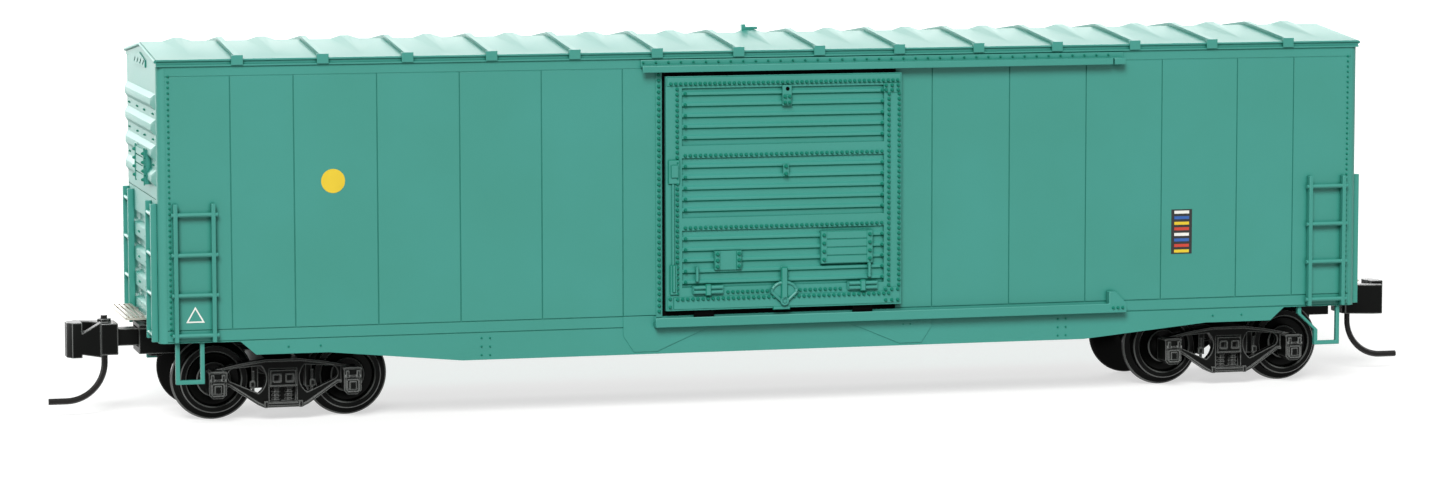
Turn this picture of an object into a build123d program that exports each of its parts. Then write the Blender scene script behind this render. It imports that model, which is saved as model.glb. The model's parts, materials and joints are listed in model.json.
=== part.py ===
from build123d import *
from math import cos, radians, tan
import os

# An N-scale (1:160) model of a fifty-foot single-door boxcar, in millimetres.
# X runs along the car, Y across it and Z up. While a piece is modelled, Z is measured from the rail top;
# write_node then raises it by the depth of the wheel flanges, so the origin lies under the middle of the
# car, level with the bottoms of the flanges.
# The car is the same after half a turn about Z, so most pieces are modelled once, on the front side
# (-Y) or at the right end (+X), and written again half a turn round. The pieces of a truck and its
# coupler are modelled about the kingpin, with +X towards the coupler.

os.makedirs("parts", exist_ok=True)

# Wheelsets
TREAD_DIA = 5.3
FLANGE_DEPTH = 0.6
FLANGE_WIDTH = 0.5
BACK_TO_BACK = 7.5
WHEEL_WIDTH = 1.45
DISH_DEPTH = 0.45
AXLE_DIA = 1.5
JOURNAL_DIA = 0.8
JOURNAL_REACH = 0.75
JOURNAL_CLEARANCE = 0.06
JOURNAL_END_PLAY = 0.1

# Heights from the axle up to the floor of the body
POCKET_RISE = 1.75
POCKET_FLOOR = 0.45
POCKET_ROOM = 1.55
POCKET_LID = 0.25
LID_CLEARANCE = 0.2

AXLE_Z = TREAD_DIA / 2
POCKET_FLOOR_Z = AXLE_Z + POCKET_RISE
BOLSTER_TOP_Z = POCKET_FLOOR_Z + POCKET_FLOOR
POCKET_LID_Z = BOLSTER_TOP_Z + POCKET_ROOM
FLOOR_Z = POCKET_LID_Z + POCKET_LID + LID_CLEARANCE

# Body shell
BODY_LENGTH = 98.0
BODY_WIDTH = 17.94
SIDE_HEIGHT = 20.3
SIDE_WALL = 0.8
END_WALL = 0.65
ROOF_WALL = 0.8
EAVE_EDGE = 0.54
ROOF_RISE = 0.92
ROOF_OVERHANG = 0.12
TRUCK_INSET = 9.9
END_SILL_DROP = 0.85
BOLSTER_SILL_DROP = 1.9
SIDE_SILL_DROP = 2.9
SILL_STEP_OUT = 3.7
SILL_STEP_IN = 2.5
SILL_BELLY_OUT = 3.1
SILL_BELLY_IN = 13.6
BAND_ABOVE_FLOOR = 0.12
BAND_BELOW_FLOOR = 0.76
TOP_PLATE = 0.77
SEAM_WIDTH = 0.09
SEAM_DEPTH = 0.06
TOP_SEAM_DEPTH = 0.03
SEAM_FROM_DOORWAY = 3.1
SEAM_COUNT = 5
LAST_PANEL = 4.88
LAST_SEAM_INSET = 5.6
STRIP_PROUD = 0.06

EAVE_Z = FLOOR_Z + SIDE_HEIGHT
END_SILL_Z = FLOOR_Z - END_SILL_DROP
BOLSTER_SILL_Z = FLOOR_Z - BOLSTER_SILL_DROP
SIDE_SILL_Z = FLOOR_Z - SIDE_SILL_DROP
BAND_TOP_Z = FLOOR_Z + BAND_ABOVE_FLOOR
BAND_BOTTOM_Z = FLOOR_Z - BAND_BELOW_FLOOR
TOP_PLATE_Z = EAVE_Z - TOP_PLATE
END_X = BODY_LENGTH / 2
SIDE_X = END_X - END_WALL
SIDE_Y = BODY_WIDTH / 2
INNER_Y = SIDE_Y - SIDE_WALL
TRUCK_X = END_X - TRUCK_INSET
EAVE_TOP_Z = EAVE_Z + EAVE_EDGE
RIDGE_Z = EAVE_TOP_Z + ROOF_RISE

# Doorways, doors and their tracks
DOORWAY_WIDTH = 19.1
DOORWAY_SHIFT = 0.05
DOORWAY_SILL = 0.1
DOORWAY_HEAD = 0.95
DOOR_LEFT_INSET = 0.2
DOOR_OVERLAP = 0.35
DOOR_ABOVE_FLOOR = 0.5
DOOR_BELOW_EAVE = 1.38
DOOR_TRAVEL = 17.35
DOOR_GAP = 0.12
DOOR_SHEET = 0.28
DOOR_RIB = 0.18
DOOR_FRAME = 0.14
LEFT_STILE = 1.3
RIGHT_STILE = 1.45
TOP_RAIL = 0.95
KICK_PLATE = 1.8
SPLICE_RAIL = 1.4
DOOR_PANELS = 3
RIBS_PER_PANEL = 5
RIB_GROOVE = 0.42
RIB_FLANK = 0.12
LUG_WIDTH = 1.6
LUG_SPREAD = 13.0
LUG_THICK = 0.22
TRACK_REACH = 0.79
LIP_THICK = 0.16
TRACK_CLEARANCE = 0.1
POST_STRIP = 0.5
UPPER_TRACK_OVERRUN = 1.7
UPPER_TRACK_DROP = 0.07
UPPER_LEDGE_DROP = 0.52
UPPER_LIP_DROP = 1.05
UPPER_LEDGE = 0.15
UPPER_STRIP = 0.12
UPPER_STOP_GAP = 0.2
STOP_BLOCK_GAP = 0.12
STOP_BLOCK = 0.95
LOWER_TRACK_OVERRUN = 0.7
LOWER_TRACK_DROP = 0.01
LOWER_TRACK_FLOOR = 0.36
STOP_LENGTH = 1.5
STOP_FLAT = 0.55
STOP_HEIGHT = 0.96

DOORWAY_LEFT = DOORWAY_SHIFT - DOORWAY_WIDTH / 2
DOORWAY_RIGHT = DOORWAY_SHIFT + DOORWAY_WIDTH / 2
DOORWAY_BOTTOM_Z = FLOOR_Z + DOORWAY_SILL
DOORWAY_TOP_Z = EAVE_Z - DOORWAY_HEAD
DOOR_LEFT = DOORWAY_LEFT + DOOR_LEFT_INSET
DOOR_RIGHT = DOORWAY_RIGHT + DOOR_OVERLAP
DOOR_BOTTOM_Z = FLOOR_Z + DOOR_ABOVE_FLOOR
DOOR_TOP_Z = EAVE_Z - DOOR_BELOW_EAVE
DOOR_BACK_Y = SIDE_Y + DOOR_GAP
TRACK_Y = SIDE_Y + TRACK_REACH
STOP_LEFT = DOOR_RIGHT + DOOR_TRAVEL + TRACK_CLEARANCE
UPPER_TRACK_LEFT = DOORWAY_LEFT - UPPER_TRACK_OVERRUN
UPPER_TRACK_RIGHT = STOP_LEFT + UPPER_STOP_GAP
UPPER_TRACK_TOP_Z = EAVE_Z - UPPER_TRACK_DROP
UPPER_LEDGE_Z = EAVE_Z - UPPER_LEDGE_DROP
UPPER_LIP_Z = EAVE_Z - UPPER_LIP_DROP
LOWER_TRACK_LEFT = DOORWAY_LEFT - LOWER_TRACK_OVERRUN
LOWER_TRACK_RIGHT = STOP_LEFT + STOP_LENGTH
LOWER_TRACK_TOP_Z = FLOOR_Z - LOWER_TRACK_DROP
LOWER_TRACK_BOTTOM_Z = BAND_BOTTOM_Z
STOP_TOP_Z = LOWER_TRACK_TOP_Z + STOP_HEIGHT

# Door hardware
HARDWARE_PROUD = 0.14
LEVER_WIDTH = 0.5
LEVER_HEIGHT = 3.0
LEVER_FOOT = 0.27
LEVER_SHIFT = 0.2
CRANK_HALF = 1.1
CRANK_RISE = 0.95
CRANK_TOP = 1.75

# Gussets that spread the doorway's load into the sill
GUSSET_FOOT = 0.2
GUSSET_RISE = 1.3
GUSSET_TOE = 0.85
GUSSET_FLAT = 1.85
GUSSET_RUN = 7.3

# Roof
ROOF_RIBS = 14
ROOF_END_PANEL = 6.165
EAVE_LIP = 0.13
CAP_WIDTH = 0.45
CAP_HEIGHT = 0.28
CLIP_WIDTH = 0.9
CLIP_PROUD = 0.1
CLIP_RISE = 0.08
CLIP_REACH = 0.35
BEAD_BASE = 2.3
BEAD_TOP = 0.65
BEAD_HEIGHT = 0.27
BEAD_RUN = 7.2
BEAD_ROOT = 0.1
CLEAT_LENGTH = 1.3
CLEAT_WIDTH = 0.4
CLEAT_HEIGHT = 0.65
CLEAT_LEG = 0.32
CLEAT_BAR = 0.2

# Pressed ends
END_SEAM_RISE = 10.15
PRESSING_RUN_OUT = 0.75
UPPER_RIBS = 4
UPPER_RIB_BOTTOM = 1.6
UPPER_RIB_TOP = 2.7
END_RIB_HALF = 0.62
END_RIB_CREST = 0.25
END_RIB_PROUD = 0.3
LOWER_TROUGHS = 4
TROUGH_BELOW_SEAM = 2.4
TROUGH_ABOVE_SILL = 2.65
TROUGH_HALF = 0.52
TROUGH_FLOOR_HALF = 0.3
TROUGH_DEPTH = 0.42
CORNER_RADIUS = 0.6
CORNER_LAND = 0.03
NOTCH_CLEARANCE = 0.3
BOARD_LEFT = -0.33
BOARD_RIGHT = 5.47
BOARD_RISE = 0.95
BOARD_HEIGHT = 2.67
BOARD_PROUD = 0.12
VENT_HALF = 3.4
VENT_DROP = 0.35
VENT_SHOULDER = 0.2
VENT_PROUD = 0.12
VENT_SLOTS = 4
VENT_SLOT_LENGTH = 1.0
VENT_SLOT_HEIGHT = 0.2
VENT_SLANT = 25.0

END_SEAM_Z = FLOOR_Z + END_SEAM_RISE

# Floor, centre sill and the weight that lies on the floor
FLOOR_THICK = 0.55
CENTRE_SILL_WIDTH = 2.4
CENTRE_SILL_DROP = 2.75
CENTRE_SILL_GAP = 11.1
CENTRE_SILL_RUN = 2.0
DRAFT_SILL_DROP = 1.65
BOLSTER_WIDTH = 2.0
CROSSBEARER_WIDTH = 0.8
CROSSBEARER_DEPTH = 1.9
CROSSBEARER_TIP = 0.7
WEIGHT_END_GAP = 6.35
WEIGHT_SIDE_GAP = 1.17
WEIGHT_THICK = 1.2

# Trucks; heights here are above or below the axle
WHEELBASE = 10.5
WHEEL_CLEARANCE = 0.25
FRAME_WEB = 0.65
FRAME_RIM = 0.17
FRAME_RIM_PROUD = 0.15
CROWN_HALF = 1.37
CROWN_RISE = 1.55
SHOULDER_HALF = 3.2
SHOULDER_RISE = 1.3
ARM_RISE = 0.89
ARM_DROP = 0.43
ARM_INSET = 0.95
CHORD_HALF = 1.5
CHORD_TURN = 0.47
CHORD_THICK = 0.43
OPENING_HALF = 1.07
OPENING_RISE = 0.78
COLUMN_WIDTH = 0.23
COLUMN_HEAD = 0.4
COLUMN_FOOT = 0.6
WINDOW_RISE = 1.05
WINDOW_END_RISE = 0.92
WINDOW_END = 0.95
WINDOW_DROP = 1.1
BOX_WIDTH = 1.36
BOX_RISE = 0.75
BOX_DROP = 1.25
BOX_CHAMFER = 0.3
BOX_REACH = 1.9
BOX_CAP_INSET = 0.18
BOX_CAP = 0.12
LID_INSET = 0.16
LID_TOP = 0.18
LID_BOTTOM = 0.85
LID_PROUD = 0.12
SPRING_SEAT_DROP = 1.79
SPRING_TOP_DROP = 0.58
SPRING_DIA = 0.76
SPRING_WAIST = 0.54
SPRING_PITCH = 1.02
SPRING_TURNS = 4
SPRING_BACK = 0.15
BOLSTER_END_HALF = 1.0
BOLSTER_END_RISE = 0.69
BOLSTER_END_PROUD = 0.2
BOLSTER_POCKET = 0.5
BOLSTER_POCKET_DEPTH = 0.25
BOLSTER_HALF = 1.3
BOLSTER_RISE = 0.35
BOLSTER_CROWN_HALF = 2.2
SHOE_WIDTH = 0.95
SHOE_THICK = 0.5
SHOE_DROP = 0.75
SHOE_CLEARANCE = 0.25
SWING = 12.0

# Kingpins
KINGPIN_DIA = 1.6
KINGPIN_FIT = 0.05
KINGPIN_HEAD_LEDGE = 0.5
KINGPIN_HEAD = 0.5
KINGPIN_SOCKET = 0.02
PAD_WALL = 1.2
PAD_CLEARANCE = 0.1

# Coupler pockets and couplers
POCKET_FRONT = 0.65
POCKET_LENGTH = 4.0
POCKET_WIDTH = 3.8
POCKET_WALL = 0.4
TONGUE_WIDTH = 2.6
POST_DIA = 1.0
POST_INSET = 1.5
POST_FIT = 0.05
POST_BOSS_DIA = 1.2
POST_BOSS = 0.35
SHANK_WIDTH = 1.4
SHANK_PLAY = 0.1
EYE_WALL = 0.5
HEAD_START = 2.2
HEAD_LENGTH = 3.95
HEAD_WIDTH = 2.6
HEAD_HEIGHT = 2.46
HEAD_CHAMFER = 0.25
COUPLER_DROP = 0.075
JAW_DEPTH = 2.6
KNUCKLE_HEIGHT = 2.76
KNUCKLE_THICK = 0.75
KNUCKLE_HOOK = 1.1
KNUCKLE_REACH = 0.45
KNUCKLE_PROUD = 0.15
KNUCKLE_BLOCK = 1.15
KNUCKLE_NOTCH = 0.85
KNUCKLE_UNDERCUT = 0.25
GUARD_REACH = 2.05
GUARD_SHORT = 0.7
GUARD_FACE = 0.9
GUARD_THICK = 0.4
PIN_DIA = 0.5
PIN_SET_BACK = 0.94
PIN_ABOVE_HEAD = 0.55
PIN_LUMP_DIA = 1.1
PIN_LUMP = 0.3
PIN_FOOT_Z = 0.65
PIN_BEND = 3.0
PIN_TOE = 1.4
PIN_FIT = 0.02

# Ladders, steps and end platforms
LADDER_WIDTH = 2.9
LADDER_INSET = 2.72
LADDER_BELOW_SEAM = 0.3
LADDER_BAR = 0.32
LADDER_DEPTH = 0.6
RUNG_DIA = 0.36
RUNG_FIRST = 0.52
RUNG_LAST = 0.84
RUNGS = 4
END_LADDER_DEPTH = 0.5
STEP_WIDTH = 1.9
STEP_INSET = 2.35
STEP_BAR = 0.32
STEP_DEPTH = 0.4
STEP_DROP = 3.05
STEP_SLANT = 1.45
STEP_KNEE_TOP = 0.6
STEP_KNEE = 1.1
PLATFORM_ABOVE_FLOOR = 0.6
PLATFORM_LADDER_GAP = 0.14
PLATFORM_DEPTH = 1.7
PLATFORM_GAP = 0.35
PLATFORM_THICK = 0.16
PLATFORM_BAR = 0.2
PLATFORM_BARS = 5
BRACKET_INSET = 1.4
BRACKET_THICK = 0.35
BRACKET_DEPTH = 0.45

# Brake gear
BRAKE_WHEEL_DIA = 3.4
BRAKE_RIM = 0.3
BRAKE_SPOKES = 5
BRAKE_SPOKE = 0.21
BRAKE_WHEEL_RISE = 8.05
BRAKE_WHEEL_Y = 2.6
HOUSING_WIDTH = 1.8
HOUSING_HEIGHT = 2.4
HOUSING_DEPTH = 0.8
HOUSING_CHAMFER = 0.35
BRAKE_SHAFT_DIA = 0.6
BRAKE_SHAFT = 0.35
RESERVOIR_X = -4.0
RESERVOIR_DIA = 2.3
RESERVOIR_LENGTH = 7.0
CYLINDER_X = 5.0
CYLINDER_DIA = 1.9
CYLINDER_LENGTH = 4.2
BRAKE_Y = 4.6
BRAKE_DROP = 1.85
SADDLE = 0.6

FRONT = Location((0, 0, 0))
BACK = Location((0, 0, 0), (0, 0, 180))
RIGHT = FRONT
LEFT = BACK


def write_node(shape, name, place=FRONT):
    """Raises a modelled piece on to the flange level at its place on the car and writes it as one node."""
    with BuildPart() as node:
        with Locations(Location((0, 0, FLANGE_DEPTH)) * place):
            add(shape)
    node.part.label = name
    export_step(node.part, f"parts/{name}.step")


def box_between(low, high):
    """Adds a block by its low and high corners to the part that is being built."""
    size = [b - a for a, b in zip(low, high)]
    with Locations(tuple((a + b) / 2 for a, b in zip(low, high))):
        Box(*size)


def pressing(section, length, run_out):
    """Returns a bar along Y with the given (x, z) section, which fades into the plane x = 0 at both ends."""
    depth = max((x for x, z in section), key=abs)
    half = length / 2
    height = max(abs(z) for x, z in section)
    with BuildPart() as bar:
        with BuildSketch(Plane.XZ.offset(-half)):
            with BuildLine():
                Polyline(*section, close=True)
            make_face()
        extrude(amount=length)
        with BuildSketch(Plane.XY):
            with BuildLine():
                Polyline((0, -half), (depth, run_out - half), (depth, half - run_out), (0, half), close=True)
            make_face()
        extrude(amount=height, both=True, mode=Mode.INTERSECT)
    return bar.part


# Sides: one sheet each, with the fish-belly sill, the doorway, seam grooves and sill gussets
sill_breaks = (  # x, z from the end of the side to its middle
    (SIDE_X, END_SILL_Z),
    (TRUCK_X + SILL_STEP_OUT, END_SILL_Z),
    (TRUCK_X + SILL_STEP_IN, BOLSTER_SILL_Z),
    (TRUCK_X - SILL_BELLY_OUT, BOLSTER_SILL_Z),
    (TRUCK_X - SILL_BELLY_IN, SIDE_SILL_Z),
)
first_seam = DOORWAY_WIDTH / 2 + SEAM_FROM_DOORWAY
last_seam = END_X - LAST_SEAM_INSET
seam_pitch = (last_seam - LAST_PANEL - first_seam) / (SEAM_COUNT - 1)
seam_places = [first_seam + k * seam_pitch for k in range(SEAM_COUNT)] + [last_seam]
gusset_foot = SIDE_SILL_Z + GUSSET_FOOT
left_gusset = (
    (LOWER_TRACK_LEFT, BAND_BOTTOM_Z),
    (LOWER_TRACK_LEFT, BAND_TOP_Z),
    (-first_seam, BAND_TOP_Z),
    (-first_seam, gusset_foot + GUSSET_RISE),
    (-first_seam + GUSSET_TOE, gusset_foot),
    (-first_seam + GUSSET_TOE + GUSSET_FLAT, gusset_foot),
    (-first_seam + GUSSET_RUN, BAND_BOTTOM_Z),
)
right_gusset = (
    (first_seam - GUSSET_RUN, BAND_BOTTOM_Z),
    (first_seam - GUSSET_TOE - GUSSET_FLAT, gusset_foot),
    (first_seam - GUSSET_TOE, gusset_foot),
    (first_seam, gusset_foot + GUSSET_RISE),
    (first_seam, BAND_BOTTOM_Z),
)

with BuildPart() as side:
    with BuildSketch(Plane.XZ.offset(INNER_Y)):
        with BuildLine():
            Polyline(
                *[(-x, z) for x, z in sill_breaks],
                *sill_breaks[::-1],
                (SIDE_X, EAVE_Z),
                (-SIDE_X, EAVE_Z),
                close=True,
            )
        make_face()
        with Locations((DOORWAY_SHIFT, (DOORWAY_BOTTOM_Z + DOORWAY_TOP_Z) / 2)):
            Rectangle(DOORWAY_WIDTH, DOORWAY_TOP_Z - DOORWAY_BOTTOM_Z, mode=Mode.SUBTRACT)
    extrude(amount=SIDE_WALL)
    with BuildSketch(Plane.XZ.offset(SIDE_Y - SEAM_DEPTH)):
        with Locations(*[(s * x, (BAND_TOP_Z + TOP_PLATE_Z) / 2) for x in seam_places for s in (-1, 1)]):
            Rectangle(SEAM_WIDTH, TOP_PLATE_Z - BAND_TOP_Z)
        with Locations((0, BAND_TOP_Z), (0, BAND_BOTTOM_Z)):
            Rectangle(2 * SIDE_X, SEAM_WIDTH)
    extrude(amount=SEAM_DEPTH, mode=Mode.SUBTRACT)
    with BuildSketch(Plane.XZ.offset(SIDE_Y - TOP_SEAM_DEPTH)):
        with Locations((0, TOP_PLATE_Z)):
            Rectangle(2 * SIDE_X, SEAM_WIDTH)
    extrude(amount=TOP_SEAM_DEPTH, mode=Mode.SUBTRACT)
    with BuildSketch(Plane.XZ.offset(SIDE_Y - SEAM_DEPTH)):
        for outline in (left_gusset, right_gusset):
            with BuildLine():
                Polyline(*outline, close=True)
            make_face()
        with Locations((DOORWAY_LEFT - POST_STRIP / 2, (LOWER_TRACK_TOP_Z + UPPER_LIP_Z) / 2)):
            Rectangle(POST_STRIP, UPPER_LIP_Z - LOWER_TRACK_TOP_Z)
    extrude(amount=SEAM_DEPTH + STRIP_PROUD)

for name, place in (("side_front", FRONT), ("side_back", BACK)):
    write_node(side.part, name, place)

# Ends: a pressed sheet with tapered ribs above its seam and tapered troughs below it, rounded corners,
# a tack board, a slotted gable vent and a notch that the coupler swings in
notch_half = TRUCK_INSET * tan(radians(SWING)) + POCKET_WIDTH / 2 / cos(radians(SWING)) + NOTCH_CLEARANCE
pressing_length = 2 * (SIDE_Y - CORNER_RADIUS - CORNER_LAND)
first_rib_z = END_SEAM_Z + UPPER_RIB_BOTTOM
rib_step = (EAVE_Z - UPPER_RIB_TOP - first_rib_z) / (UPPER_RIBS - 1)
first_trough_z = END_SILL_Z + TROUGH_ABOVE_SILL
trough_step = (END_SEAM_Z - TROUGH_BELOW_SEAM - first_trough_z) / (LOWER_TROUGHS - 1)
rib_section = (  # x out from the sheet, z from the rib's middle
    (0, -END_RIB_HALF),
    (END_RIB_PROUD, -END_RIB_CREST),
    (END_RIB_PROUD, END_RIB_CREST),
    (0, END_RIB_HALF),
)
trough_section = (
    (0, -TROUGH_HALF),
    (-TROUGH_DEPTH, -TROUGH_FLOOR_HALF),
    (-TROUGH_DEPTH, TROUGH_FLOOR_HALF),
    (0, TROUGH_HALF),
)
end_rib = pressing(rib_section, pressing_length, PRESSING_RUN_OUT)
trough = pressing(trough_section, pressing_length, PRESSING_RUN_OUT)
gable_top_z = RIDGE_Z - ROOF_WALL
board_low_z = END_SEAM_Z + BOARD_RISE
vent_low_z = EAVE_Z - VENT_DROP
vent_pitch = 2 * VENT_HALF / VENT_SLOTS

with BuildPart() as end:
    with BuildSketch(Plane.YZ.offset(SIDE_X)):
        with BuildLine():
            Polyline(
                (-SIDE_Y, END_SILL_Z),
                (-notch_half, END_SILL_Z),
                (-notch_half, FLOOR_Z),
                (notch_half, FLOOR_Z),
                (notch_half, END_SILL_Z),
                (SIDE_Y, END_SILL_Z),
                (SIDE_Y, EAVE_Z),
                (INNER_Y, EAVE_Z),
                (0, gable_top_z),
                (-INNER_Y, EAVE_Z),
                (-SIDE_Y, EAVE_Z),
                close=True,
            )
        make_face()
    extrude(amount=END_WALL)
    corners = edges().filter_by(Axis.Z).filter_by_position(Axis.X, END_X, END_X).group_by(Axis.Y)
    fillet(corners[0] + corners[-1], min(CORNER_RADIUS, END_WALL - CORNER_LAND))
    with Locations(*[(END_X, 0, first_trough_z + k * trough_step) for k in range(LOWER_TROUGHS)]):
        add(trough, mode=Mode.SUBTRACT)
    with BuildSketch(Plane.YZ.offset(END_X - SEAM_DEPTH)):
        with Locations((0, END_SEAM_Z)):
            Rectangle(2 * INNER_Y, SEAM_WIDTH)
    extrude(amount=SEAM_DEPTH, mode=Mode.SUBTRACT)
    with Locations(*[(END_X, 0, first_rib_z + k * rib_step) for k in range(UPPER_RIBS)]):
        add(end_rib)
    box_between(
        (END_X, BOARD_LEFT, board_low_z),
        (END_X + END_RIB_PROUD + BOARD_PROUD, BOARD_RIGHT, board_low_z + BOARD_HEIGHT),
    )
    with BuildSketch(Plane.YZ.offset(END_X)):
        with BuildLine():
            Polyline(
                (-VENT_HALF, vent_low_z),
                (VENT_HALF, vent_low_z),
                (VENT_HALF, EAVE_Z + VENT_SHOULDER),
                (0, gable_top_z),
                (-VENT_HALF, EAVE_Z + VENT_SHOULDER),
                close=True,
            )
        make_face()
        with Locations(*[((k - (VENT_SLOTS - 1) / 2) * vent_pitch, EAVE_Z) for k in range(VENT_SLOTS)]):
            Rectangle(VENT_SLOT_LENGTH, VENT_SLOT_HEIGHT, rotation=VENT_SLANT, mode=Mode.SUBTRACT)
    extrude(amount=VENT_PROUD)

for name, place in (("end_right", RIGHT), ("end_left", LEFT)):
    write_node(end.part, name, place)

# Roof: a shallow gable of panels with a hollow along each eave, seam caps with clips over the eaves, and a
# raised bead on each panel
eave_y = SIDE_Y + ROOF_OVERHANG
slope = ROOF_RISE / eave_y
roof_panel = (BODY_LENGTH - 2 * ROOF_END_PANEL) / (ROOF_RIBS - 1)
clip_low_z = EAVE_Z + CLIP_RISE
eave_section = (  # y, z up the edge of the eave
    (eave_y, EAVE_Z),
    (eave_y, EAVE_Z + EAVE_LIP),
    (SIDE_Y, EAVE_Z + EAVE_LIP),
    (SIDE_Y, EAVE_TOP_Z - EAVE_LIP),
    (eave_y, EAVE_TOP_Z - EAVE_LIP),
    (eave_y, EAVE_TOP_Z),
)

with BuildPart() as seam_cap:
    with BuildSketch(Plane.YZ):
        with BuildLine():
            Polyline(
                (0, RIDGE_Z),
                (0, RIDGE_Z + CAP_HEIGHT),
                (-eave_y, EAVE_TOP_Z + CAP_HEIGHT),
                (-eave_y, EAVE_TOP_Z),
                close=True,
            )
        make_face()
    extrude(amount=CAP_WIDTH / 2, both=True)
    with BuildSketch(Plane.YZ):
        with BuildLine():
            Polyline(
                (-SIDE_Y, clip_low_z),
                (-eave_y - CLIP_PROUD, clip_low_z),
                (-eave_y - CLIP_PROUD, EAVE_TOP_Z + CAP_HEIGHT),
                (-eave_y + CLIP_REACH, EAVE_TOP_Z + CAP_HEIGHT),
                (-eave_y + CLIP_REACH, EAVE_TOP_Z),
                (-SIDE_Y, EAVE_TOP_Z),
                close=True,
            )
        make_face()
    extrude(amount=CLIP_WIDTH / 2, both=True)
    mirror(about=Plane.XZ)

with BuildPart() as panel_bead:
    with BuildSketch(Plane.XZ) as bead_root:
        with BuildLine():
            Polyline(
                (0, RIDGE_Z - BEAD_ROOT),
                (-BEAD_BASE / 2, RIDGE_Z),
                (-BEAD_TOP / 2, RIDGE_Z + BEAD_HEIGHT),
                (BEAD_TOP / 2, RIDGE_Z + BEAD_HEIGHT),
                (BEAD_BASE / 2, RIDGE_Z),
                close=True,
            )
        make_face()
    loft([bead_root.sketch, Vertex(0, -BEAD_RUN, RIDGE_Z - slope * BEAD_RUN)], ruled=True)
    mirror(about=Plane.XZ)

with BuildPart() as roof:
    with BuildSketch(Plane.YZ.offset(-END_X)):
        with BuildLine():
            Polyline(
                *[(-y, z) for y, z in eave_section],
                (0, RIDGE_Z),
                *eave_section[::-1],
                (INNER_Y, EAVE_Z),
                (0, gable_top_z),
                (-INNER_Y, EAVE_Z),
                close=True,
            )
        make_face()
    extrude(amount=BODY_LENGTH)
    with Locations(*[((k - (ROOF_RIBS - 1) / 2) * roof_panel, 0, 0) for k in range(ROOF_RIBS)]):
        add(seam_cap.part)
    with Locations(*[((k - ROOF_RIBS / 2) * roof_panel, 0, 0) for k in range(ROOF_RIBS + 1)]):
        add(panel_bead.part)
    box_between(
        (-CLEAT_LENGTH / 2, -CLEAT_WIDTH / 2, RIDGE_Z),
        (-CLEAT_LENGTH / 2 + CLEAT_LEG, CLEAT_WIDTH / 2, RIDGE_Z + CLEAT_HEIGHT),
    )
    box_between(
        (-CLEAT_LENGTH / 2, -CLEAT_WIDTH / 2, RIDGE_Z + CLEAT_HEIGHT - 2 * CLEAT_BAR),
        (CLEAT_LENGTH / 2, CLEAT_WIDTH / 2, RIDGE_Z + CLEAT_HEIGHT - CLEAT_BAR),
    )

write_node(roof.part, "roof")

# Door tracks: an angle over the doorway and a channel under it, each closed by a stop at its right end
with BuildPart() as upper_track:
    with BuildSketch(Plane.YZ.offset(UPPER_TRACK_LEFT)):
        with BuildLine():
            Polyline(
                (-SIDE_Y, UPPER_TRACK_TOP_Z),
                (-SIDE_Y - UPPER_STRIP, UPPER_TRACK_TOP_Z),
                (-SIDE_Y - UPPER_STRIP, UPPER_LEDGE_Z),
                (-TRACK_Y, UPPER_LEDGE_Z),
                (-TRACK_Y, UPPER_LIP_Z),
                (-TRACK_Y + LIP_THICK, UPPER_LIP_Z),
                (-TRACK_Y + LIP_THICK, UPPER_LEDGE_Z - UPPER_LEDGE),
                (-SIDE_Y, UPPER_LEDGE_Z - UPPER_LEDGE),
                close=True,
            )
        make_face()
    extrude(amount=UPPER_TRACK_RIGHT - UPPER_TRACK_LEFT)
    stop_x = UPPER_TRACK_RIGHT + STOP_BLOCK_GAP
    box_between(
        (UPPER_TRACK_RIGHT, -SIDE_Y - UPPER_STRIP, UPPER_LEDGE_Z - UPPER_LEDGE),
        (stop_x + STOP_BLOCK, -SIDE_Y, UPPER_TRACK_TOP_Z),
    )
    box_between(
        (stop_x, -TRACK_Y, UPPER_LIP_Z),
        (stop_x + STOP_BLOCK, -SIDE_Y, UPPER_LEDGE_Z),
    )

with BuildPart() as lower_track:
    with BuildSketch(Plane.YZ.offset(LOWER_TRACK_LEFT)):
        with BuildLine():
            Polyline(
                (-SIDE_Y, LOWER_TRACK_BOTTOM_Z),
                (-TRACK_Y, LOWER_TRACK_BOTTOM_Z),
                (-TRACK_Y, LOWER_TRACK_TOP_Z),
                (-TRACK_Y + LIP_THICK, LOWER_TRACK_TOP_Z),
                (-TRACK_Y + LIP_THICK, LOWER_TRACK_BOTTOM_Z + LOWER_TRACK_FLOOR),
                (-SIDE_Y, LOWER_TRACK_BOTTOM_Z + LOWER_TRACK_FLOOR),
                close=True,
            )
        make_face()
    extrude(amount=LOWER_TRACK_RIGHT - LOWER_TRACK_LEFT)
    with BuildSketch(Plane.XZ.offset(SIDE_Y)):
        with BuildLine():
            Polyline(
                (STOP_LEFT, LOWER_TRACK_BOTTOM_Z),
                (STOP_LEFT, STOP_TOP_Z),
                (STOP_LEFT + STOP_FLAT, STOP_TOP_Z),
                (LOWER_TRACK_RIGHT, LOWER_TRACK_TOP_Z),
                (LOWER_TRACK_RIGHT, LOWER_TRACK_BOTTOM_Z),
                close=True,
            )
        make_face()
    extrude(amount=TRACK_REACH)

for side_name, place in (("front", FRONT), ("back", BACK)):
    write_node(upper_track.part, f"upper_track_{side_name}", place)
    write_node(lower_track.part, f"lower_track_{side_name}", place)

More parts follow.
